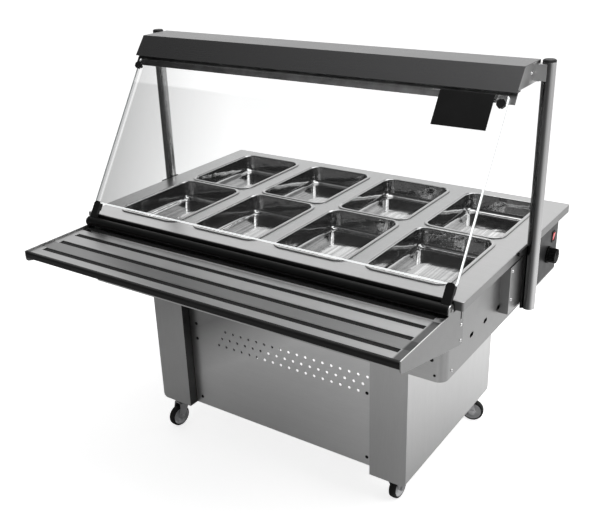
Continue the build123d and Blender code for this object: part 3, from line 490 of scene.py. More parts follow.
@dataclass(frozen=True)
class PolishedSteel(Finish):
    """Mirror-polished pressing with slight waves, dried drops, and a floor scoured along its length whose
    streaks are partly a painted reflection.
    """

    tones: Range = (0.95, 1.03)
    wear: Range = (0.015, 0.025)
    patch_scale: float = 9.0
    mark_shade: float = 0.9
    mark_roughness: float = 0.1
    wave: float = 0.4
    wave_scale: float = 22.0
    wave_height: float = 0.002
    floor_turn: Range = (0.8, 0.97)
    floor_roughness: float = 0.1
    scour_lines: float = 90.0
    scour_and_reflection_tones: Range = (0.6, 1.38)

    def layers(self, wiring: Wiring) -> dict[str, object]:
        """Sets up the polish, its waves, its water marks and the scoured floor with its painted reflection
        streaks.

        Args:
            wiring: Wiring of the material.

        Returns:
            Inputs of the shader.
        """
        patch = wiring.effect(Effects.smudge(), Scale=self.patch_scale)["Patch"]
        ring = wiring.effect(Effects.water_marks())["Ring"]
        polish = self.toned(wiring, patch, self.tones)
        tone = wiring.mix(ring, polish, shade(self.colour, self.mark_shade))
        marked = wiring.maths("MULTIPLY", ring, self.mark_roughness)
        rough = wiring.maths("ADD", self.worn(wiring, patch), marked)
        upward = wiring.dot(wiring.add("ShaderNodeTexCoord").outputs[Guide.FACING.value], UP)
        floor = wiring.pick(upward, *self.floor_turn)
        scour = wiring.effect(Effects.brushed_lines(), Stretch=Grain.ALONG_Y.value, Lines=self.scour_lines)
        waves = wiring.noise(wiring.place(), self.wave_scale, detail=1.0)
        relief = {"Strength": self.wave, "Distance": self.wave_height, "Height": waves}
        # The floor's scour streaks are partly brushed grain and partly painted reflection, bright streaks
        # among dark.
        return {
            "Base Color": wiring.mix(floor, tone, self.toned(wiring, scour["Streak"], self.scour_and_reflection_tones)),
            "Roughness": wiring.between(floor, rough, self.floor_roughness),
            "Normal": wiring.add("ShaderNodeBump", relief).outputs[0],
            "Metallic": 1.0,
        }


@dataclass(frozen=True)
class SatinMetal(EdgedFinish):
    """Plated, cast or satin-coated metal with a fine grain and paler edges, partly worn and partly a painted
    highlight.
    """

    edge_light: float = 1.6
    depth: float = 0.15
    relief: float = 0.0002
    tones: Range = (0.88, 1.12)
    wear: Range = (0.04, 0.05)
    grain_scale: float = 1100.0
    metallic: float = 1.0
    gloss: float = 0.5

    def layers(self, wiring: Wiring) -> dict[str, object]:
        """Sets up the grain, the drift of tone and the paler edges, part wear and part painted highlight.

        Args:
            wiring: Wiring of the material.

        Returns:
            Inputs of the shader.
        """
        grain = wiring.effect(Effects.speckle(), Scale=self.grain_scale)
        tone = self.toned(wiring, grain["Drift"], self.tones)
        rough = self.worn(wiring, grain["Drift"])
        inputs = self.edged(wiring, tone, rough, grain["Grain"])
        return {**inputs, "Metallic": self.metallic, "Specular IOR Level": self.gloss}


@dataclass(frozen=True)
class Moulding(EdgedFinish):
    """Plastic or rubber with a moulded grain and edges paler, partly rubbed and partly a painted highlight.
    """

    edge_radius: float = 0.001
    edge_light: float = 2.2
    depth: float = 0.3
    tones: Range = (0.8, 1.25)
    wear: Range = (0.05, 0.06)
    grain_scale: float = 1800.0
    ribs: float = 0.0
    rib_height: float = 4.0
    gloss: float = 0.25

    def layers(self, wiring: Wiring) -> dict[str, object]:
        """Sets up the moulded grain, any fine ribs along X and the paler edges, part rubbing and part painted
        highlight.

        Args:
            wiring: Wiring of the material.

        Returns:
            Inputs of the shader.
        """
        grain = wiring.effect(Effects.speckle(), Scale=self.grain_scale)
        tone = self.toned(wiring, grain["Drift"], self.tones)
        rough = self.worn(wiring, grain["Drift"])
        height = grain["Grain"]
        if self.ribs:
            bands = {"Vector": wiring.place(), "Scale": self.ribs}
            rows = wiring.add("ShaderNodeTexWave", bands, bands_direction="Y").outputs[1]
            height = wiring.maths("ADD", wiring.maths("MULTIPLY", rows, self.rib_height), height)
        return {**self.edged(wiring, tone, rough, height), "Specular IOR Level": self.gloss}


@dataclass(frozen=True)
class ClearGlass(Finish):
    """Clear float glass that lets light through to what stands behind it."""

    tones: Range = (0.985, 1.0)
    wear: Range = (0.004, 0.004)
    patch_scale: float = 3.0
    refraction: float = 1.5

    def layers(self, wiring: Wiring) -> dict[str, object]:
        """Sets up the clear body and faint wiping marks.

        Args:
            wiring: Wiring of the material.

        Returns:
            Inputs of the shader.
        """
        patch = wiring.effect(Effects.smudge(), Scale=self.patch_scale)["Patch"]
        return {
            "Base Color": self.toned(wiring, patch, self.tones),
            "Roughness": self.worn(wiring, patch),
            "Transmission Weight": 1.0,
            "IOR": self.refraction,
        }

    def shown(self, wiring: Wiring, surface: Socket) -> Socket:
        """Lets the light of the lamps pass straight through.

        Args:
            wiring: Wiring of the material.
            surface: Surface of the glass.

        Returns:
            The surface, clear in the way of a shadow.
        """
        shadow = wiring.add("ShaderNodeLightPath").outputs["Is Shadow Ray"]
        clear = wiring.add("ShaderNodeBsdfTransparent", {"Color": self.colour}).outputs[0]
        return wiring.add("ShaderNodeMixShader", {0: shadow, 1: surface, 2: clear}).outputs[0]


@dataclass(frozen=True)
class GroundEdgeGlow(Finish):
    """Ground edge of the glass, pale with a painted glow as if it caught the light."""

    tones: Range = (0.92, 1.0)
    grain_scale: float = 2500.0
    glow: float = 0.8

    def layers(self, wiring: Wiring) -> dict[str, object]:
        """Sets up the ground grain and the painted glow of the edge.

        Args:
            wiring: Wiring of the material.

        Returns:
            Inputs of the shader.
        """
        grain = wiring.effect(Effects.speckle(), Scale=self.grain_scale)
        tone = self.toned(wiring, grain["Grain"], self.tones)
        # The emission is a painted glow; the edge is no lamp.
        return {
            "Base Color": tone,
            "Emission Color": tone,
            "Emission Strength": self.glow,
            "Roughness": self.worn(wiring, grain["Drift"]),
        }


@dataclass(frozen=True)
class LitLens(Finish):
    """Coloured lens of a switch with a lamp behind it."""

    tones: Range = (0.85, 1.1)
    grain_scale: float = 900.0
    edge_radius: float = 0.0008
    edge_glow: float = 0.5
    glow: float = 0.5
    coat: float = 0.4

    def layers(self, wiring: Wiring) -> dict[str, object]:
        """Sets up the tinted lens and its uneven glow.

        Args:
            wiring: Wiring of the material.

        Returns:
            Inputs of the shader.
        """
        grain = wiring.effect(Effects.speckle(), Scale=self.grain_scale)
        edge = wiring.effect(Effects.soft_edge(), Radius=self.edge_radius)
        tone = self.toned(wiring, grain["Drift"], self.tones)
        return {
            "Base Color": tone,
            "Emission Color": wiring.mix(edge["Edge"], tone, shade(self.colour, self.edge_glow)),
            "Emission Strength": self.glow,
            "Roughness": self.worn(wiring, grain["Drift"]),
            "Normal": edge["Normal"],
            "Coat Weight": self.coat,
        }


# Direction along which painted shade darkens the panel and legs under the tray, towards the top and the left.
UNDER_TRAY_SHADE = (-0.5, 0.0, 0.86)
REAR_RIGHT = (0.82, 0.57, 0.0)
UPPER_RIGHT = (0.94, 0.0, 0.34)

# Worktop: painted shade on faces that don't face up, such as the folded lip.
WORKTOP_STEEL = BrushedSteel("worktop_steel", grey(0.62), 0.3, (facing(UP, 0.36, 0.7, 0.2),))
# Casing: painted shade halves the tone of faces that face right.
CASING_STEEL = BrushedSteel("casing_steel", grey(0.54), 0.33, (facing(RIGHT, 0.5),))
# Panel and legs: painted shade, darker towards the top and the left where the tray shades them.
PANEL_STEEL = BrushedSteel("panel_steel", grey(0.78), 0.33, (Fade(UNDER_TRAY_SHADE, 0.38, 0.54, 0.33),))
LEG_STEEL = BrushedSteel(
    "leg_steel", grey(0.56), 0.33, (Fade(UNDER_TRAY_SHADE, 0.38, 0.66, 0.58),), grain=Grain.UPRIGHT
)
TRAY_STEEL = BrushedSteel("tray_steel", grey(0.5), 0.32)
# Tray end plates: dark steel with a painted highlight, four times as light on faces that face up, such as
# their top edges.
END_STEEL = BrushedSteel("end_steel", grey(0.22), 0.33, (facing(UP, 4.0, 0.3, 0.7),), edge_light=2.0)
BRACKET_STEEL = BrushedSteel("bracket_steel", grey(0.37), 0.32, grain=Grain.UPRIGHT)
# Canopy ends and brackets: painted shade on faces that face left.
CANOPY_END_STEEL = BrushedSteel("canopy_end_steel", grey(0.66), 0.32, (facing(LEFT, 0.35),))
# Uprights: painted shade on the side turned away from the rear right.
TUBE_STEEL = BrushedSteel(
    "tube_steel", grey(0.52), 0.2, (facing(REAR_RIGHT, 0.22, 0.4, -0.3),), grain=Grain.UPRIGHT
)
INNER_STEEL = BrushedSteel("inner_steel", grey(0.45), 0.38)
# Pans: painted shade on the walls, darker still on walls that face the front and the left, standing in for
# dark reflections.
PAN_STEEL = PolishedSteel(
    "pan_steel",
    grey(0.72),
    0.05,
    (facing(UP, 0.85, 0.8, 0.2), facing(FRONT, 0.3, 0.2, 0.8), facing(LEFT, 0.6, 0.2, 0.8)),
)
CANOPY_GRAPHITE = BrushedSteel("canopy_graphite", (0.15, 0.15, 0.152), 0.28)
# Glass rail: painted shade, darker towards the left, and a wide mottle that stands in for its reflections.
RAIL_GREY = SatinMetal(
    "rail_grey", (0.32, 0.32, 0.322), 0.36, (Fade(RIGHT, 0.0, -0.6, 0.25),), tones=(0.75, 1.25)
)
SCREW_STEEL = SatinMetal("screw_metal", grey(0.62), 0.25)
SCREW_DARK = SatinMetal("screw_dark", grey(0.03), 0.4)
SHEATH_METAL = SatinMetal("sheath_metal", (0.24, 0.22, 0.2), 0.4)
VALVE_METAL = SatinMetal("cast_brass", (0.66, 0.5, 0.26), 0.35)
CASTOR_ZINC = SatinMetal("plated_zinc", (0.5, 0.5, 0.51), 0.3)
BAR_BLACK = SatinMetal("bar_satin_black", grey(0.006), 0.42, metallic=0.0, gloss=0.15)
PANEL_GREY = SatinMetal("panel_satin_grey", (0.05, 0.05, 0.051), 0.4, metallic=0.6, gloss=0.1)
LEVER_RED = SatinMetal("lever_dipped_red", (0.45, 0.03, 0.025), 0.35, metallic=0.0, edge_light=1.3)
BLACK_MOULDING = Moulding("moulding_black", grey(0.009), 0.45)
KNOB_BLACK = Moulding("knob_black", grey(0.005), 0.5, gloss=0.1)
STRIP_BLACK = Moulding("strip_ribbed_black", grey(0.007), 0.55, ribs=120.0, gloss=0.15)
TYRE_RUBBER = Moulding("tyre_rubber", grey(0.014), 0.6)
HUB_GREY = Moulding("hub_grey", (0.6, 0.6, 0.61), 0.42, edge_light=1.2, gloss=0.5)
CASE_CREAM = Moulding("case_cream", (0.6, 0.57, 0.5), 0.45, edge_light=1.15, gloss=0.5)
SIGN_GLOSS = Moulding("sign_gloss", grey(0.005), 0.18, depth=0.04, gloss=0.4)
# Glass: a painted sheen, greyer towards its lower left.
GLASS_CLEAR = ClearGlass(
    "glass_clear", (0.94, 0.945, 0.945), 0.004, (Fade(UPPER_RIGHT, 0.2, -0.33, 0.46),)
)
# Glass edges: a painted glow, bright on the edges and dim grey on the arrises.
GLASS_EDGE = GroundEdgeGlow("glass_edge", (0.95, 0.97, 0.97), 0.3)
GLASS_ARRIS = GroundEdgeGlow("glass_arris", (0.5, 0.52, 0.52), 0.3, glow=0.2)
ROCKER_RED = LitLens("rocker_red", (0.62, 0.012, 0.02), 0.22)


def dress(finish: Finish, *nodes: str) -> None:
    """Gives CAD nodes their finish.

    Args:
        finish: Finish to show.
        *nodes: Names of the nodes.
    """
    for name in nodes:
        frame["nodes"][name].data.materials[0] = finish.material()
        LOG.info("%s dressed as %s", name, finish.name)


def placed(name: str, data: bpy.types.ID) -> bpy.types.Object:
    """Adds an object to the scene.

    Args:
        name: Name of the object.
        data: Mesh, lamp or camera that it shows.

    Returns:
        The new object.
    """
    made = bpy.data.objects.new(name, data)
    bpy.context.scene.collection.objects.link(made)
    return made


def extent(points: Iterable[Sequence[float]]) -> tuple[list[float], list[float]]:
    """Lowest and highest value of some points along each axis."""
    columns = list(zip(*points))
    return [min(column) for column in columns], [max(column) for column in columns]


def arc(centre: Point, radius: float, start: float, end: float, steps: int) -> list[Point]:
    """Points on an arc between two angles in degrees, both ends included."""
    turns = [math.radians(start + (end - start) * step / steps) for step in range(steps + 1)]
    return [(centre[0] + radius * math.cos(t), centre[1] + radius * math.sin(t)) for t in turns]


def flipped(profile: list[Point]) -> list[Point]:
    """Mirror image of a profile, from its last point back to its first."""
    return [(-along, radius) for along, radius in reversed(profile)]


def rounded_ring(half_x: float, half_y: float, radius: float, steps: int) -> list[Point]:
    """Points round a rectangle with rounded corners, counter-clockwise.

    Args:
        half_x: Half of its size along X.
        half_y: Half of its size along Y.
        radius: Corner radius.
        steps: Steps in each corner.

    Returns:
        X and Y of each point.
    """
    points = []
    for quarter, (x, y) in enumerate(((1, 1), (-1, 1), (-1, -1), (1, -1))):
        centre = (x * (half_x - radius), y * (half_y - radius))
        points += arc(centre, radius, 90 * quarter, 90 * (quarter + 1), steps)
    return points


def pierced(
    outline: list[Point], holes: list[Point], radius: float, sides: int
) -> tuple[list[Vector], list[tuple[int, ...]]]:
    """Flat sheet with round holes, as triangles.

    Args:
        outline: Points round the sheet.
        holes: Centre of each hole.
        radius: Radius of the holes.
        sides: Points round each hole.

    Returns:
        The points, the outline's first and then each hole's, and the faces between them.
    """
    loops = [outline]
    loops += [arc(place, radius, 0, 360 - 360 / sides, sides - 1) for place in holes]
    points, edges = [], []
    for loop in loops:
        first = len(points)
        points += [Vector(point) for point in loop]
        edges += [(first + k, first + (k + 1) % len(loop)) for k in range(len(loop))]
    points, _, faces, *_ = delaunay_2d_cdt(points, edges, [], 1, SHEET_REACH)
    kept = []
    for face in faces:
        middle = sum((points[k] for k in face), Vector((0.0, 0.0))) / len(face)
        if all((middle - Vector(place)).length > HOLE_CORE * radius for place in holes):
            kept.append(tuple(face))
    return points, kept


class Form:
    """Mesh under construction, in the frame's own coordinates."""

    def __init__(self) -> None:
        """Starts with no points and no faces."""
        self.points: list[Vector] = []
        self.faces: list[tuple[int, ...]] = []

    def ring(self, points: Iterable[Sequence[float]]) -> list[int]:
        """Adds points.

        Args:
            points: Points in order.

        Returns:
            Their numbers in the mesh.
        """
        first = len(self.points)
        self.points += [Vector(point) for point in points]
        return list(range(first, len(self.points)))

    def bridge(self, outer: list[int], inner: list[int]) -> None:
        """Fills the band between two closed rings of the same length.

        Args:
            outer: Ring that the band starts from.
            inner: Ring that it goes to.
        """
        for k in range(len(outer)):
            after = (k + 1) % len(outer)
            self.faces.append((outer[k], outer[after], inner[after], inner[k]))

    def cap(self, ring: list[int]) -> None:
        """Closes a ring with one face."""
        self.faces.append(tuple(ring))

    def turn(self, centre: Vector, axis: Vector, outline: list[Point], steps: int) -> None:
        """Adds a closed outline turned all the way round an axis.

        Args:
            centre: Point on the axis.
            axis: Direction of the axis.
            outline: Place along the axis and radius of each point.
            steps: Steps round the axis.
        """
        axis = axis.normalized()
        side = axis.orthogonal().normalized()
        rings = []
        for step in range(steps):
            out = Matrix.Rotation(math.tau * step / steps, 3, axis) @ side
            rings.append(self.ring(centre + axis * along + out * radius for along, radius in outline))
        for step in range(steps):
            self.bridge(rings[step], rings[(step + 1) % steps])

    def piece(
        self, name: str, body: str, slot: str, finish: Finish, stands_for: Sequence[str], closed: bool = True
    ) -> bpy.types.Object:
        """Makes the piece, dresses it and puts it on its body.

        Args:
            name: Name of the piece.
            body: CAD body that it rides on.
            slot: Record's material slot; not used.
            finish: Finish to show.
            stands_for: CAD nodes that it replaces.
            closed: Whether its faces close round a solid.

        Returns:
            The new object.
        """
        mesh = bpy.data.meshes.new(name)
        mesh.from_pydata([tuple(point) for point in self.points], [], self.faces)
        if closed:
            work = bmesh.new()
            work.from_mesh(mesh)
            bmesh.ops.recalc_face_normals(work, faces=work.faces)
            work.to_mesh(mesh)
            work.free()
        mesh.shade_smooth()
        mesh.set_sharp_from_angle(angle=SHARP_ANGLE)
        mesh.materials.append(finish.material())
        made = placed(name, mesh)
        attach(made, body)
        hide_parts(*stands_for)
        LOG.info("%s built with %d faces as %s", name, len(mesh.polygons), finish.name)
        return made


def thicken(piece: bpy.types.Object, sheet: float) -> None:
    """Gives an open skin its sheet thickness, behind the side that it faces.

    Args:
        piece: Object with the skin.
        sheet: Thickness of the sheet.
    """
    solid = piece.modifiers.new("sheet", "SOLIDIFY")
    solid.thickness = sheet
    solid.offset = -1.0


@dataclass
class Base:
    """Leg boxes, vented front panel and castors."""

    castor_names: tuple[str, ...] = ("front_left", "front_right", "rear_left", "rear_right")
    inner_painted_shade: float = 0.2
    panel_sheet: float = 0.0015
    panel_fold: float = 0.003
    fold_steps: int = 4
    vent_diameter: float = 0.01
    vent_sides: int = 20
    vent_columns: int = 18
    vent_rows: int = 3
    vent_pitch_x: float = 0.0332
    vent_pitch_z: float = 0.0295
    vent_end_inset: float = 0.0286
    vent_drop: float = 0.159
    wheel_radius: float = 0.04
    wheel_half: float = 0.012
    wheel_steps: int = 56
    rim_radius: float = 0.032
    shoulder: float = 0.004
    shoulder_steps: int = 5
    crown: float = 0.0008
    boss_radius: float = 0.011
    boss_half: float = 0.0146
    bore_radius: float = 0.00505
    web_half: float = 0.0035
    hub_step: float = 0.002

    def build(self) -> None:
        """Builds the panel and wheels and dresses the rest."""
        # Each leg gets its own copy of the steel with painted shade on its inner face, between the legs.
        for side, inward in (("left", RIGHT), ("right", LEFT)):
            fades = (*LEG_STEEL.fades, facing(inward, self.inner_painted_shade))
            dress(replace(LEG_STEEL, name=f"leg_steel_{side}", fades=fades), f"leg_{side}")
        dress(CASTOR_ZINC, "castor_plates", *(f"castor_fork_{name}" for name in self.castor_names))
        self.front_panel()
        for name in self.castor_names:
            self.wheel(name)

    def vent_places(self, right: float, top: float) -> list[Point]:
        """Centre of every vent, each row half a pitch further left than the one above.

        Args:
            right: Right-hand side of the panel.
            top: Upper edge of the panel.

        Returns:
            X and Z of each vent.
        """
        first = right - self.vent_end_inset - (self.vent_columns - 1) * self.vent_pitch_x
        return [
            (first + (column - row / 2) * self.vent_pitch_x, top - self.vent_drop - row * self.vent_pitch_z)
            for row in range(self.vent_rows)
            for column in range(self.vent_columns)
        ]

    def front_panel(self) -> None:
        """Builds the folded panel with its round vents."""
        low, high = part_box("front_panel")
        edge = high.x - self.panel_fold
        outline = [(-edge, low.z), (edge, low.z), (edge, high.z), (-edge, high.z)]
        vents = self.vent_places(high.x, high.z)
        points, faces = pierced(outline, vents, self.vent_diameter / 2, self.vent_sides)
        form = Form()
        form.ring((point.x, low.y, point.y) for point in points)
        form.faces += faces
        bend = arc((edge, low.y + self.panel_fold), self.panel_fold, -90, 0, self.fold_steps)
        for side in (-1, 1):
            profile = [(side * x, y) for x, y in [*bend, (high.x, high.y)]]
            rows = [form.ring(((x, y, low.z), (x, y, high.z))) for x, y in profile]
            for near, far in zip(rows, rows[1:]):
                quad = (near[0], far[0], far[1], near[1])
                form.faces.append(quad if side > 0 else tuple(reversed(quad)))
        panel = form.piece(
            "front_panel_vented", ROOT_BODY, "brushed_sheet", PANEL_STEEL, ["front_panel"], closed=False
        )
        for polygon in panel.data.polygons[:len(faces)]:
            polygon.use_smooth = False
        weld = panel.modifiers.new("weld", "WELD")
        weld.merge_threshold = WELD_REACH
        thicken(panel, self.panel_sheet)

    def wheel(self, name: str) -> None:
        """Builds one castor's tyre and hub, turned about the axle.

        Args:
            name: Which castor.
        """
        joint = next(joint for joint in frame["joints"] if joint["name"] == f"roll_{name}")
        centre, axis = Vector(joint["pos_m"]), Vector(joint["axis"])
        flank = self.wheel_half - self.shoulder
        tread = self.wheel_radius - self.crown
        right = arc((flank, tread - self.shoulder), self.shoulder, 0, 90, self.shoulder_steps)
        bead = [(-self.wheel_half, self.rim_radius), (self.wheel_half, self.rim_radius)]
        tyre = Form()
        tyre.turn(centre, axis, [*right, (0.0, self.wheel_radius), *flipped(right), *bead], self.wheel_steps)
        tyre.piece(f"tyre_{name}", f"wheel_{name}", "castor_tyre", TYRE_RUBBER, [f"castor_tyre_{name}"])
        step = self.hub_step
        half = [
            (self.boss_half, self.bore_radius),
            (self.boss_half, self.boss_radius - step),
            (self.boss_half - step, self.boss_radius),
            (self.web_half + step, self.boss_radius + step / 2),
            (self.web_half, self.boss_radius + 2 * step),
            (self.web_half, self.rim_radius - 3 * step),
            (self.web_half + step, self.rim_radius - 2 * step),
            (self.wheel_half - step / 2, self.rim_radius - step),
            (self.wheel_half, self.rim_radius - step / 2),
            (self.wheel_half, self.rim_radius),
        ]
        hub = Form()
        hub.turn(centre, axis, half + flipped(half), self.wheel_steps)
        hub.piece(f"hub_{name}", f"wheel_{name}", "castor_hub", HUB_GREY, [f"castor_hub_{name}"])


@dataclass
class FoodPan:
    """One deep-drawn pan that hangs in the worktop by its rim."""

    node: str
    sheet: float = 0.001
    rim: float = 0.012
    rim_turn: float = 0.0035
    rim_roll: float = 0.0022
    rim_corner: float = 0.046
    inner_corner: float = 0.014
    taper: float = 4.0
    mouth_round: float = 0.005
    floor_round: float = 0.016
    floor_step: float = 0.02
    floor_crown: float = 0.0012
    corner_steps: int = 12
    roll_steps: int = 5
    mouth_steps: int = 7
    floor_steps: int = 8

    def stations(self, depth: float) -> list[Point]:
        """Inset and depth of each ring, from the turned-down edge to the middle of the floor.

        Args:
            depth: Depth of the floor below the rim.

        Returns:
            The rings' insets and depths.
        """
        taper = math.radians(self.taper)
        mouth, floor = self.mouth_round, self.floor_round
        mouth_inset = self.rim + math.tan(taper) * mouth * (1 - math.sin(taper)) - mouth * math.cos(taper)
        floor_inset = self.rim + math.tan(taper) * (depth - floor + floor * math.sin(taper))
        floor_inset += floor * math.cos(taper)
        roll = arc((self.rim_roll, -self.rim_roll), self.rim_roll, 180, 90, self.roll_steps)
        lip = arc((mouth_inset, -mouth), mouth, 90, self.taper, self.mouth_steps)
        sweep = arc((floor_inset, floor - depth), floor, 180 + self.taper, 270, self.floor_steps)
        bends = [(inset, -height) for inset, height in (*roll, *lip, *sweep)]
        middle = (floor_inset + self.floor_step, depth - self.floor_crown / 2)
        return [(0.0, self.rim_turn), *bends, middle]

    def build(self) -> None:
        """Builds the pressing from its rim to its floor."""
        low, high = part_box(self.node)
        centre, half = (low + high) / 2, (high - low) / 2
        form = Form()
        rings = []
        for inset, depth in self.stations(high.z - low.z - self.sheet):
            corner = max(self.rim_corner - inset, self.inner_corner)
            outline = rounded_ring(half.x - inset, half.y - inset, corner, self.corner_steps)
            rings.append(form.ring((centre.x + x, centre.y + y, high.z - depth) for x, y in outline))
        for outer, inner in zip(rings, rings[1:]):
            form.bridge(outer, inner)
        form.cap(rings[-1])
        name = f"{self.node}_pressing"
        pan = form.piece(name, f"{self.node}_body", "polished_pan", PAN_STEEL, [self.node], closed=False)
        pan.data.materials.append(WORKTOP_STEEL.material())
        rim_bands = self.roll_steps + 2
        for polygon in pan.data.polygons[:rim_bands * len(rings[0])]:
            polygon.material_index = 1
        thicken(pan, self.sheet)


@dataclass
class HeatedBody:
    """Worktop, tub, tank, pans, heating and controls."""

    pan_columns: int = 4
    pan_rows: tuple[str, ...] = ("front", "rear")

    def build(self) -> None:
        """Builds the pans and dresses the rest."""
        dress(WORKTOP_STEEL, "worktop")
        dress(CASING_STEEL, "tub_casing")
        dress(INNER_STEEL, "water_tank", "element_supports", "thermowell", "thermostat_spindle")
        dress(SHEATH_METAL, "heating_element")
        dress(PANEL_GREY, "control_panel")
        dress(CASE_CREAM, "thermostat")
        dress(KNOB_BLACK, "thermostat_knob")
        dress(BLACK_MOULDING, "switch_housing", "cable_gland")
        dress(ROCKER_RED, "switch_rocker")
        dress(VALVE_METAL, "drain_valve")
        dress(LEVER_RED, "drain_lever")
        for row in self.pan_rows:
            for column in range(self.pan_columns):
                FoodPan(f"pan_{row}_{column + 1}").build()


@dataclass
class Guard:
    """Uprights, canopy and the leaning glass with its fittings."""

    glass_node: str = "front_glass"
    glass_body: str = "glass"
    arris: float = 0.0016
    bevel: float = 0.004
    corner: float = 0.008
    corner_steps: int = 6
    hole_sides: int = 24
    hole_margin: float = 0.01
    edge_turn: float = 0.3
    # Margins and tones of the painted highlight and reflection bands on the glass.
    clear_margin: Range = (0.026, 0.023)
    clear_light: float = 1.6
    grey_margin: Range = (0.017, 0.015)
    grey_shade: float = 0.65
    top_margin: Range = (0.0765, 0.0725)
    top_light: float = 1.22

    def build(self) -> None:
        """Builds the glass and dresses the rest of the guard."""
        dress(TUBE_STEEL, "upright_left", "upright_right")
        dress(BRACKET_STEEL, "upright_brackets")
        dress(CANOPY_END_STEEL, "canopy_ends", "canopy_brackets")
        dress(BLACK_MOULDING, "upright_caps", "upright_saddles", "glass_clamps", "bar_plugs")
        dress(BLACK_MOULDING, "thumb_knob_left", "thumb_knob_right")
        dress(CANOPY_GRAPHITE, "canopy_shell")
        dress(RAIL_GREY, "glass_rail")
        dress(BAR_BLACK, "pivot_bar")
        dress(SIGN_GLOSS, "sign_plate")
        self.glass()

    def glass_finish(self) -> ClearGlass:
        """Paints a bright band just in from the glass's left edge and a lighter band along its top, by
        distances from those edges: a painted highlight and a painted reflection.

        Returns:
            The finish of the sheet.
        """
        low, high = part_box(self.glass_node)
        margins = (
            Fade(RIGHT, *(low.x + inset for inset in self.clear_margin), self.clear_light),
            Fade(RIGHT, *(low.x + inset for inset in self.grey_margin), self.grey_shade),
            Fade(UP, *(high.z - inset for inset in self.top_margin), self.top_light),
        )
        return replace(GLASS_CLEAR, fades=(*GLASS_CLEAR.fades, *margins))

    def stud_holes(self, places: Iterable[Sequence[float]]) -> tuple[list[Point], float]:
        """Finds the two holes for the thumb studs.

        Args:
            places: Points of the CAD glass along its plane's own axes.

        Returns:
            Middle of each hole, and their radius.
        """
        low, high = extent(places)
        middle = (low[0] + high[0]) / 2
        reach = (high[0] - low[0]) / 2 - self.hole_margin
        bored = [p for p in places if abs(p[0] - middle) < reach and high[1] - p[1] > self.hole_margin]
        holes, radius = [], 0.0
        for side in (-1, 1):
            start, end = extent(p for p in bored if side * (p[0] - middle) > 0)
            holes.append(((start[0] + end[0]) / 2, (start[1] + end[1]) / 2))
            radius = (end[1] - start[1]) / 2
        return holes, radius

    def glass(self) -> None:
        """Builds the glass with a bevelled, ground outline and its two stud holes."""
        mesh = frame["nodes"][self.glass_node].data
        out = max(mesh.polygons, key=lambda polygon: polygon.area).normal.copy()
        out *= -1 if out.y > 0 else 1
        across = Vector(RIGHT)
        rise = out.cross(across)
        axes = (across, rise, out)
        corners = [vertex.co for vertex in mesh.vertices]
        places = {tuple(round(corner.dot(axis), MATCH_DIGITS) for axis in axes) for corner in corners}
        low, high = extent(places)
        middle = [(a + b) / 2 for a, b in zip(low, high)]
        half = [(b - a) / 2 for a, b in zip(low, high)]
        holes, radius = self.stud_holes(places)
        form = Form()

        def lift(points: Iterable[Sequence[float]], depth: float) -> list[int]:
            """Adds points of the glass plane at a depth out of its middle."""
            return form.ring(across * u + rise * v + out * (middle[2] + depth) for u, v, *_ in points)

        def outline(inset: float) -> list[Point]:
            """Outline of the glass, drawn in by an inset."""
            ring = rounded_ring(half[0] - inset, half[1] - inset, self.corner - inset, self.corner_steps)
            return [(middle[0] + u, middle[1] + v) for u, v in ring]

        points, faces = pierced(outline(self.bevel), holes, radius, self.hole_sides)
        front, back = lift(points, half[2]), lift(points, -half[2])
        for side in (front, back):
            form.faces += [tuple(side[k] for k in face) for face in faces]
        clear = len(form.faces)
        rim = outline(0.0)
        near, far = lift(rim, half[2] - self.arris), lift(rim, self.arris - half[2])
        count = len(rim)
        form.bridge(near, far)
        form.bridge(front[:count], near)
        form.bridge(far, back[:count])
        for first in range(count, count + len(holes) * self.hole_sides, self.hole_sides):
            form.bridge(front[first:first + self.hole_sides], back[first:first + self.hole_sides])
        finish = self.glass_finish()
        sheet = form.piece("glass_sheet", self.glass_body, "clear_glass", finish, [self.glass_node])
        # The edge and arris faces take the painted glow of their finishes.
        sheet.data.materials.append(GLASS_EDGE.material())
        sheet.data.materials.append(GLASS_ARRIS.material())
        for polygon in sheet.data.polygons:
            turn = polygon.normal.x
            if polygon.index < clear:
                polygon.use_smooth = False
            elif polygon.normal.dot(rise) < self.edge_turn:
                at_end = turn > 1 - self.edge_turn or turn < -self.edge_turn
                polygon.material_index = 2 if at_end else 1


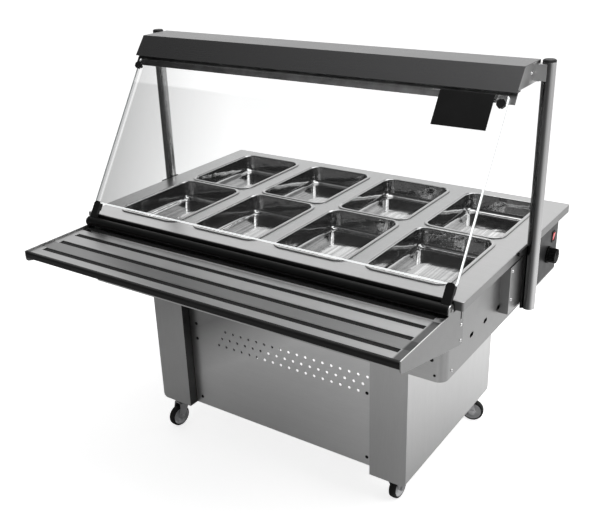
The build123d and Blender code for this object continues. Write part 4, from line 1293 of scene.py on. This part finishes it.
@dataclass
class TraySlide:
    """Tray plate with inlaid strips, one more laid near the bar, rounded front trim and end plates."""

    band_painted_reflection: float = 0.55
    margin_painted_shade: float = 0.25
    margin_blend: float = 0.006
    step_blend: float = 0.002
    side_digits: int = 4
    rear_pitch: float = 0.059
    strip_height: float = 0.0012
    strip_round: float = 0.0008
    round_steps: int = 4

    def build(self) -> None:
        """Builds the rear strip and dresses the tray slide."""
        vertices = frame["nodes"]["tray_strips"].data.vertices
        sides = sorted({round(vertex.co.y, self.side_digits) for vertex in vertices})
        low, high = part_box("tray_strips")
        # Painted shade on the plate beyond the right ends of the strips, and a painted dark reflection on the
        # band between the front strip and the next.
        fades = (
            Fade(RIGHT, high[0], high[0] + self.margin_blend, self.margin_painted_shade),
            Fade(REAR, sides[1], sides[1] + self.step_blend, self.band_painted_reflection),
            Fade(REAR, sides[2] - self.step_blend, sides[2], 1 / self.band_painted_reflection),
        )
        dress(replace(TRAY_STEEL, fades=fades), "tray_plate")
        dress(END_STEEL, "tray_ends")
        dress(STRIP_BLACK, "tray_strips")
        dress(BLACK_MOULDING, "tray_trim")
        self.rear_strip((low[0], high[0]), (sides[-2] + self.rear_pitch, sides[-1] + self.rear_pitch))

    def rear_strip(self, length: Range, width: Range) -> None:
        """Lays the strip nearest the bar on the tray plate.

        Args:
            length: Left and right end of the strip.
            width: Front and rear side of the strip.
        """
        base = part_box("tray_plate")[1][2]
        top = base + self.strip_height - self.strip_round
        section = [(width[0], base), (width[1], base)]
        section += arc((width[1] - self.strip_round, top), self.strip_round, 0.0, 90.0, self.round_steps)
        section += arc((width[0] + self.strip_round, top), self.strip_round, 90.0, 180.0, self.round_steps)
        form = Form()
        left, right = (form.ring((x, y, z) for y, z in section) for x in length)
        form.bridge(left, right)
        form.cap(left)
        form.cap(right)
        form.piece("tray_strip_rear", ROOT_BODY, "black_strip", STRIP_BLACK, [])


@dataclass
class Fasteners:
    """Domed screw heads with a socket, and plain low heads on the casing."""

    node: str = "dome_screws"
    steps: int = 24
    rise: float = 0.85
    dome_rings: int = 6
    socket_radius: float = 0.0022
    socket_depth: float = 0.0014
    socket_draft: float = 0.9
    seat_reach: float = 0.001
    casing_heads: tuple[tuple[float, float, float], ...] = ((0.038, 0.0655, 0.006), (0.028, 0.0196, 0.004))
    casing_rise: float = 0.002
    casing_profile: tuple[Point, ...] = ((0.0, 0.0), (0.0, 1.0), (0.6, 0.9), (1.0, 0.6), (1.0, 0.0))

    def heads(self) -> list[list[Vector]]:
        """Sorts the points of the node by the head that they belong to.

        Returns:
            Points of each separate head.
        """
        mesh = frame["nodes"][self.node].data
        leader: dict[tuple, tuple] = {}

        def find(key: tuple) -> tuple:
            """Follows the leaders to the first point of a head.

            Args:
                key: Any point of the head.

            Returns:
                Its first point.
            """
            while leader[key] != key:
                key = leader[key]
            return key

        keys = [tuple(round(part, MATCH_DIGITS) for part in vertex.co) for vertex in mesh.vertices]
        for key in keys:
            leader.setdefault(key, key)
        for polygon in mesh.polygons:
            first, *others = (keys[k] for k in polygon.vertices)
            for other in others:
                leader[find(other)] = find(first)
        groups: dict[tuple, list[Vector]] = {}
        for key in leader:
            groups.setdefault(find(key), []).append(Vector(key))
        return list(groups.values())

    def build(self) -> None:
        """Builds every head, dark on the front panel and the casing and bright elsewhere."""
        panel_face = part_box("front_panel")[0].y
        bright, dark = Form(), Form()
        for head in self.heads():
            on_panel = abs(max(point.y for point in head) - panel_face) < self.seat_reach
            self.dome(dark if on_panel else bright, head)
        bright.piece("screw_domes", ROOT_BODY, "screw_steel", SCREW_STEEL, [self.node])
        dark.piece("panel_screw_domes", ROOT_BODY, "screw_steel", SCREW_DARK, [self.node])
        self.casing_row()

    def casing_row(self) -> None:
        """Builds the dark heads low on both ends of the casing's front, which the CAD leaves out."""
        form = Form()
        low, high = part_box("tub_casing")
        for inset, lift, radius in self.casing_heads:
            outline = [(along * self.casing_rise, out * radius) for along, out in self.casing_profile]
            for across in (low.x + inset, high.x - inset):
                form.turn(Vector((across, low.y, low.z + lift)), Vector(FRONT), outline, self.steps)
        form.piece("casing_screw_domes", ROOT_BODY, "screw_steel", SCREW_DARK, [])

    def dome(self, form: Form, head: list[Vector]) -> None:
        """Adds one dome over the place of a CAD head.

        Args:
            form: Mesh that takes the dome.
            head: Points of the CAD head.
        """
        low, high = (Vector(corner) for corner in extent(head))
        size = high - low
        along = min(range(3), key=lambda k: size[k])
        middle = (low + high) / 2
        near = max((p - middle).length for p in head if p[along] < middle[along])
        far = max((p - middle).length for p in head if p[along] > middle[along])
        axis = Vector((0, 0, 0))
        axis[along] = 1.0 if near > far else -1.0
        base = middle.copy()
        base[along] = low[along] if near > far else high[along]
        radius = sorted(size)[1] / 2
        height = size[along] * self.rise
        sphere = (radius ** 2 + height ** 2) / (2 * height)
        outline = [(0.0, 0.0), (0.0, radius)]
        for step in range(1, self.dome_rings + 1):
            out = radius + (self.socket_radius - radius) * step / self.dome_rings
            outline.append((height - sphere + math.sqrt(sphere ** 2 - out ** 2), out))
        floor = outline[-1][0] - self.socket_depth
        outline += [(floor, self.socket_radius * self.socket_draft), (floor, 0.0)]
        form.turn(base, axis, outline, self.steps)


@dataclass(frozen=True)
class Softbox:
    """Rectangular lamp that faces a point; its power is in watts."""

    name: str
    place: Direction
    aim: Direction
    size: Range
    power: float

    def hang(self) -> None:
        """Adds the lamp to the scene."""
        light = bpy.data.lights.new(self.name, "AREA")
        light.shape = "RECTANGLE"
        light.size, light.size_y = self.size
        light.energy = self.power
        lamp = placed(self.name, light)
        lamp.location = self.place
        lamp.rotation_mode = "QUATERNION"
        lamp.rotation_quaternion = (Vector(self.aim) - Vector(self.place)).to_track_quat("-Z", "Y")


@dataclass
class Studio:
    """Floor, soft lamps, pale surroundings and the camera of the photograph."""

    image_width: int = 600
    focal_pixels: float = 838.33
    sensor: float = 36.0
    azimuth: float = 34.748
    down: float = 23.645
    roll: float = -1.869
    eye: Direction = (1.46307, -2.12447, 1.8151)
    softboxes: tuple[Softbox, ...] = (
        Softbox("top_softbox", (0.5, 0.6, 3.2), (0.0, 0.1, 0.8), (3.0, 2.0), 46.0),
        Softbox("right_softbox", (3.2, 0.5, 2.4), (0.0, 0.0, 0.7), (2.4, 1.6), 34.0),
    )
    floor_half: float = 40.0
    floor_colour: Colour = grey(0.8)
    floor_roughness: float = 0.9
    near_glow: float = 0.74
    far_glow: float = 0.8
    glow_start: float = 1.2
    glow_end: float = 3.5
    lit_side: Direction = (0.66, 0.75, 0.0)
    shine_start: float = 0.2
    shine_end: float = 1.2
    shine_top: float = 0.45
    room_front: tuple[Point, ...] = (
        (0.0, 0.5), (0.12, 0.22), (0.4, 0.12), (0.63, 0.13), (0.85, 0.5), (1.0, 0.55)
    )
    room_rear: tuple[Point, ...] = (
        (0.0, 1.0), (0.4, 1.0), (0.5, 0.7), (0.66, 0.16), (0.85, 0.3), (1.0, 0.45)
    )
    room_turn: Range = (-0.15, 0.3)

    def build(self) -> None:
        """Sets up the floor, the light and the camera."""
        bpy.context.scene.view_settings.view_transform = "Standard"
        self.floor()
        self.surroundings()
        for softbox in self.softboxes:
            softbox.hang()
        self.camera()

    def floor(self) -> None:
        """Lays a wide pale floor."""
        mesh = bpy.data.meshes.new("floor")
        reach = self.floor_half
        corners = [(-reach, -reach, 0), (reach, -reach, 0), (reach, reach, 0), (-reach, reach, 0)]
        mesh.from_pydata(corners, [], [(0, 1, 2, 3)])
        floor = placed("floor", mesh)
        mesh.materials.append(self.floor_material())

    def floor_material(self) -> bpy.types.Material:
        """Makes a matt surface, white away from the object and with a lit side in reflections.

        Returns:
            The material.
        """
        material = bpy.data.materials.new("pale_floor")
        wiring = Wiring.fresh(material)
        path = wiring.add("ShaderNodeLightPath").outputs
        seen = wiring.maths("MAXIMUM", path["Is Camera Ray"], path["Is Glossy Ray"])
        seen = wiring.maths("MAXIMUM", seen, path["Is Transmission Ray"])
        place = wiring.place()
        distance = wiring.add("ShaderNodeVectorMath", {0: place}, operation="LENGTH").outputs["Value"]
        away = wiring.pick(distance, self.glow_start, self.glow_end)
        bare = wiring.span(away, self.near_glow, self.far_glow)
        lit = wiring.pick(wiring.dot(place, self.lit_side), self.shine_start, self.shine_end)
        shine = wiring.maths("MULTIPLY", lit, self.shine_top)
        shown = wiring.between(self.reflected(wiring, path), bare, shine)
        inputs = {
            "Base Color": self.floor_colour,
            "Roughness": self.floor_roughness,
            "Specular IOR Level": 0.0,
            "Emission Color": WHITE,
            "Emission Strength": wiring.maths("MULTIPLY", shown, seen),
        }
        shader = wiring.add("ShaderNodeBsdfPrincipled", inputs)
        wiring.add("ShaderNodeOutputMaterial", {"Surface": shader.outputs[0]})
        return material

    def reflected(self, wiring: Wiring, path: bpy.types.NodeOutputs) -> Socket:
        """Mask of light that has met a shiny surface on its way."""
        return wiring.pick(path["Glossy Depth"], 0.0, 1.0)

    def surroundings(self) -> None:
        """Makes the room: white to the eye, lit along its rear wall and dim in front."""
        world = bpy.data.worlds.new("studio_room")
        bpy.context.scene.world = world
        wiring = Wiring.fresh(world)
        ray = wiring.add("ShaderNodeTexCoord").outputs["Generated"]
        part = wiring.add("ShaderNodeSeparateXYZ", {0: ray}).outputs
        front, rear = (self.wall(wiring, part["Z"], stops) for stops in (self.room_front, self.room_rear))
        room = wiring.mix(wiring.pick(part["Y"], *self.room_turn), front, rear)
        path = wiring.add("ShaderNodeLightPath").outputs
        direct = wiring.maths("SUBTRACT", path["Is Transmission Ray"], self.reflected(wiring, path))
        shown = wiring.mix(wiring.maths("MAXIMUM", path["Is Camera Ray"], direct), room, WHITE)
        back = wiring.add("ShaderNodeBackground", {"Color": shown, "Strength": 1.0})
        wiring.add("ShaderNodeOutputWorld", {"Surface": back.outputs[0]})

    def wall(self, wiring: Wiring, height: Socket, stops: Sequence[Point]) -> Socket:
        """Tone of one side of the room from the floor line to overhead.

        Args:
            wiring: Wiring of the world.
            height: Height of the ray, from 0 at the floor line to 1 overhead.
            stops: Height and tone of each stop.

        Returns:
            The tone at the ray's height.
        """
        ramp = wiring.add("ShaderNodeValToRGB", {0: height})
        while len(ramp.color_ramp.elements) < len(stops):
            ramp.color_ramp.elements.new(1.0)
        for element, (place, tone) in zip(ramp.color_ramp.elements, stops):
            element.position = place
            element.color = (*grey(tone), 1.0)
        return ramp.outputs[0]

    def camera(self) -> None:
        """Sets the camera at the photograph's viewpoint."""
        turn, dip, roll = (math.radians(angle) for angle in (self.azimuth, self.down, self.roll))
        back = Vector((math.sin(turn) * math.cos(dip), -math.cos(turn) * math.cos(dip), math.sin(dip)))
        right = (-back).cross(Vector(UP)).normalized()
        down = (-back).cross(right)
        level = math.cos(roll) * right - math.sin(roll) * down
        fall = math.sin(roll) * right + math.cos(roll) * down
        data = bpy.data.cameras.new("photo_camera")
        data.sensor_width = self.sensor
        data.lens = self.sensor * self.focal_pixels / self.image_width
        camera = placed("photo_camera", data)
        pose = Matrix((level, -fall, back)).transposed().to_4x4()
        pose.translation = Vector(self.eye)
        camera.matrix_world = pose
        bpy.context.scene.camera = camera


def clear_defaults() -> None:
    """Removes what Blender starts with and isn't part of the frame."""
    for name in ("Cube", "Light", "Camera"):
        found = bpy.data.objects.get(name)
        if found is not None:
            bpy.data.objects.remove(found)


def main() -> None:
    """Builds every part of the scene in order."""
    logging.basicConfig(level=logging.INFO, format="%(message)s")
    clear_defaults()
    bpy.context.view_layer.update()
    for section in (Base(), HeatedBody(), Guard(), TraySlide(), Fasteners(), Studio()):
        section.build()
        LOG.info("%s done", type(section).__name__)


if __name__ == "__main__":
    main()
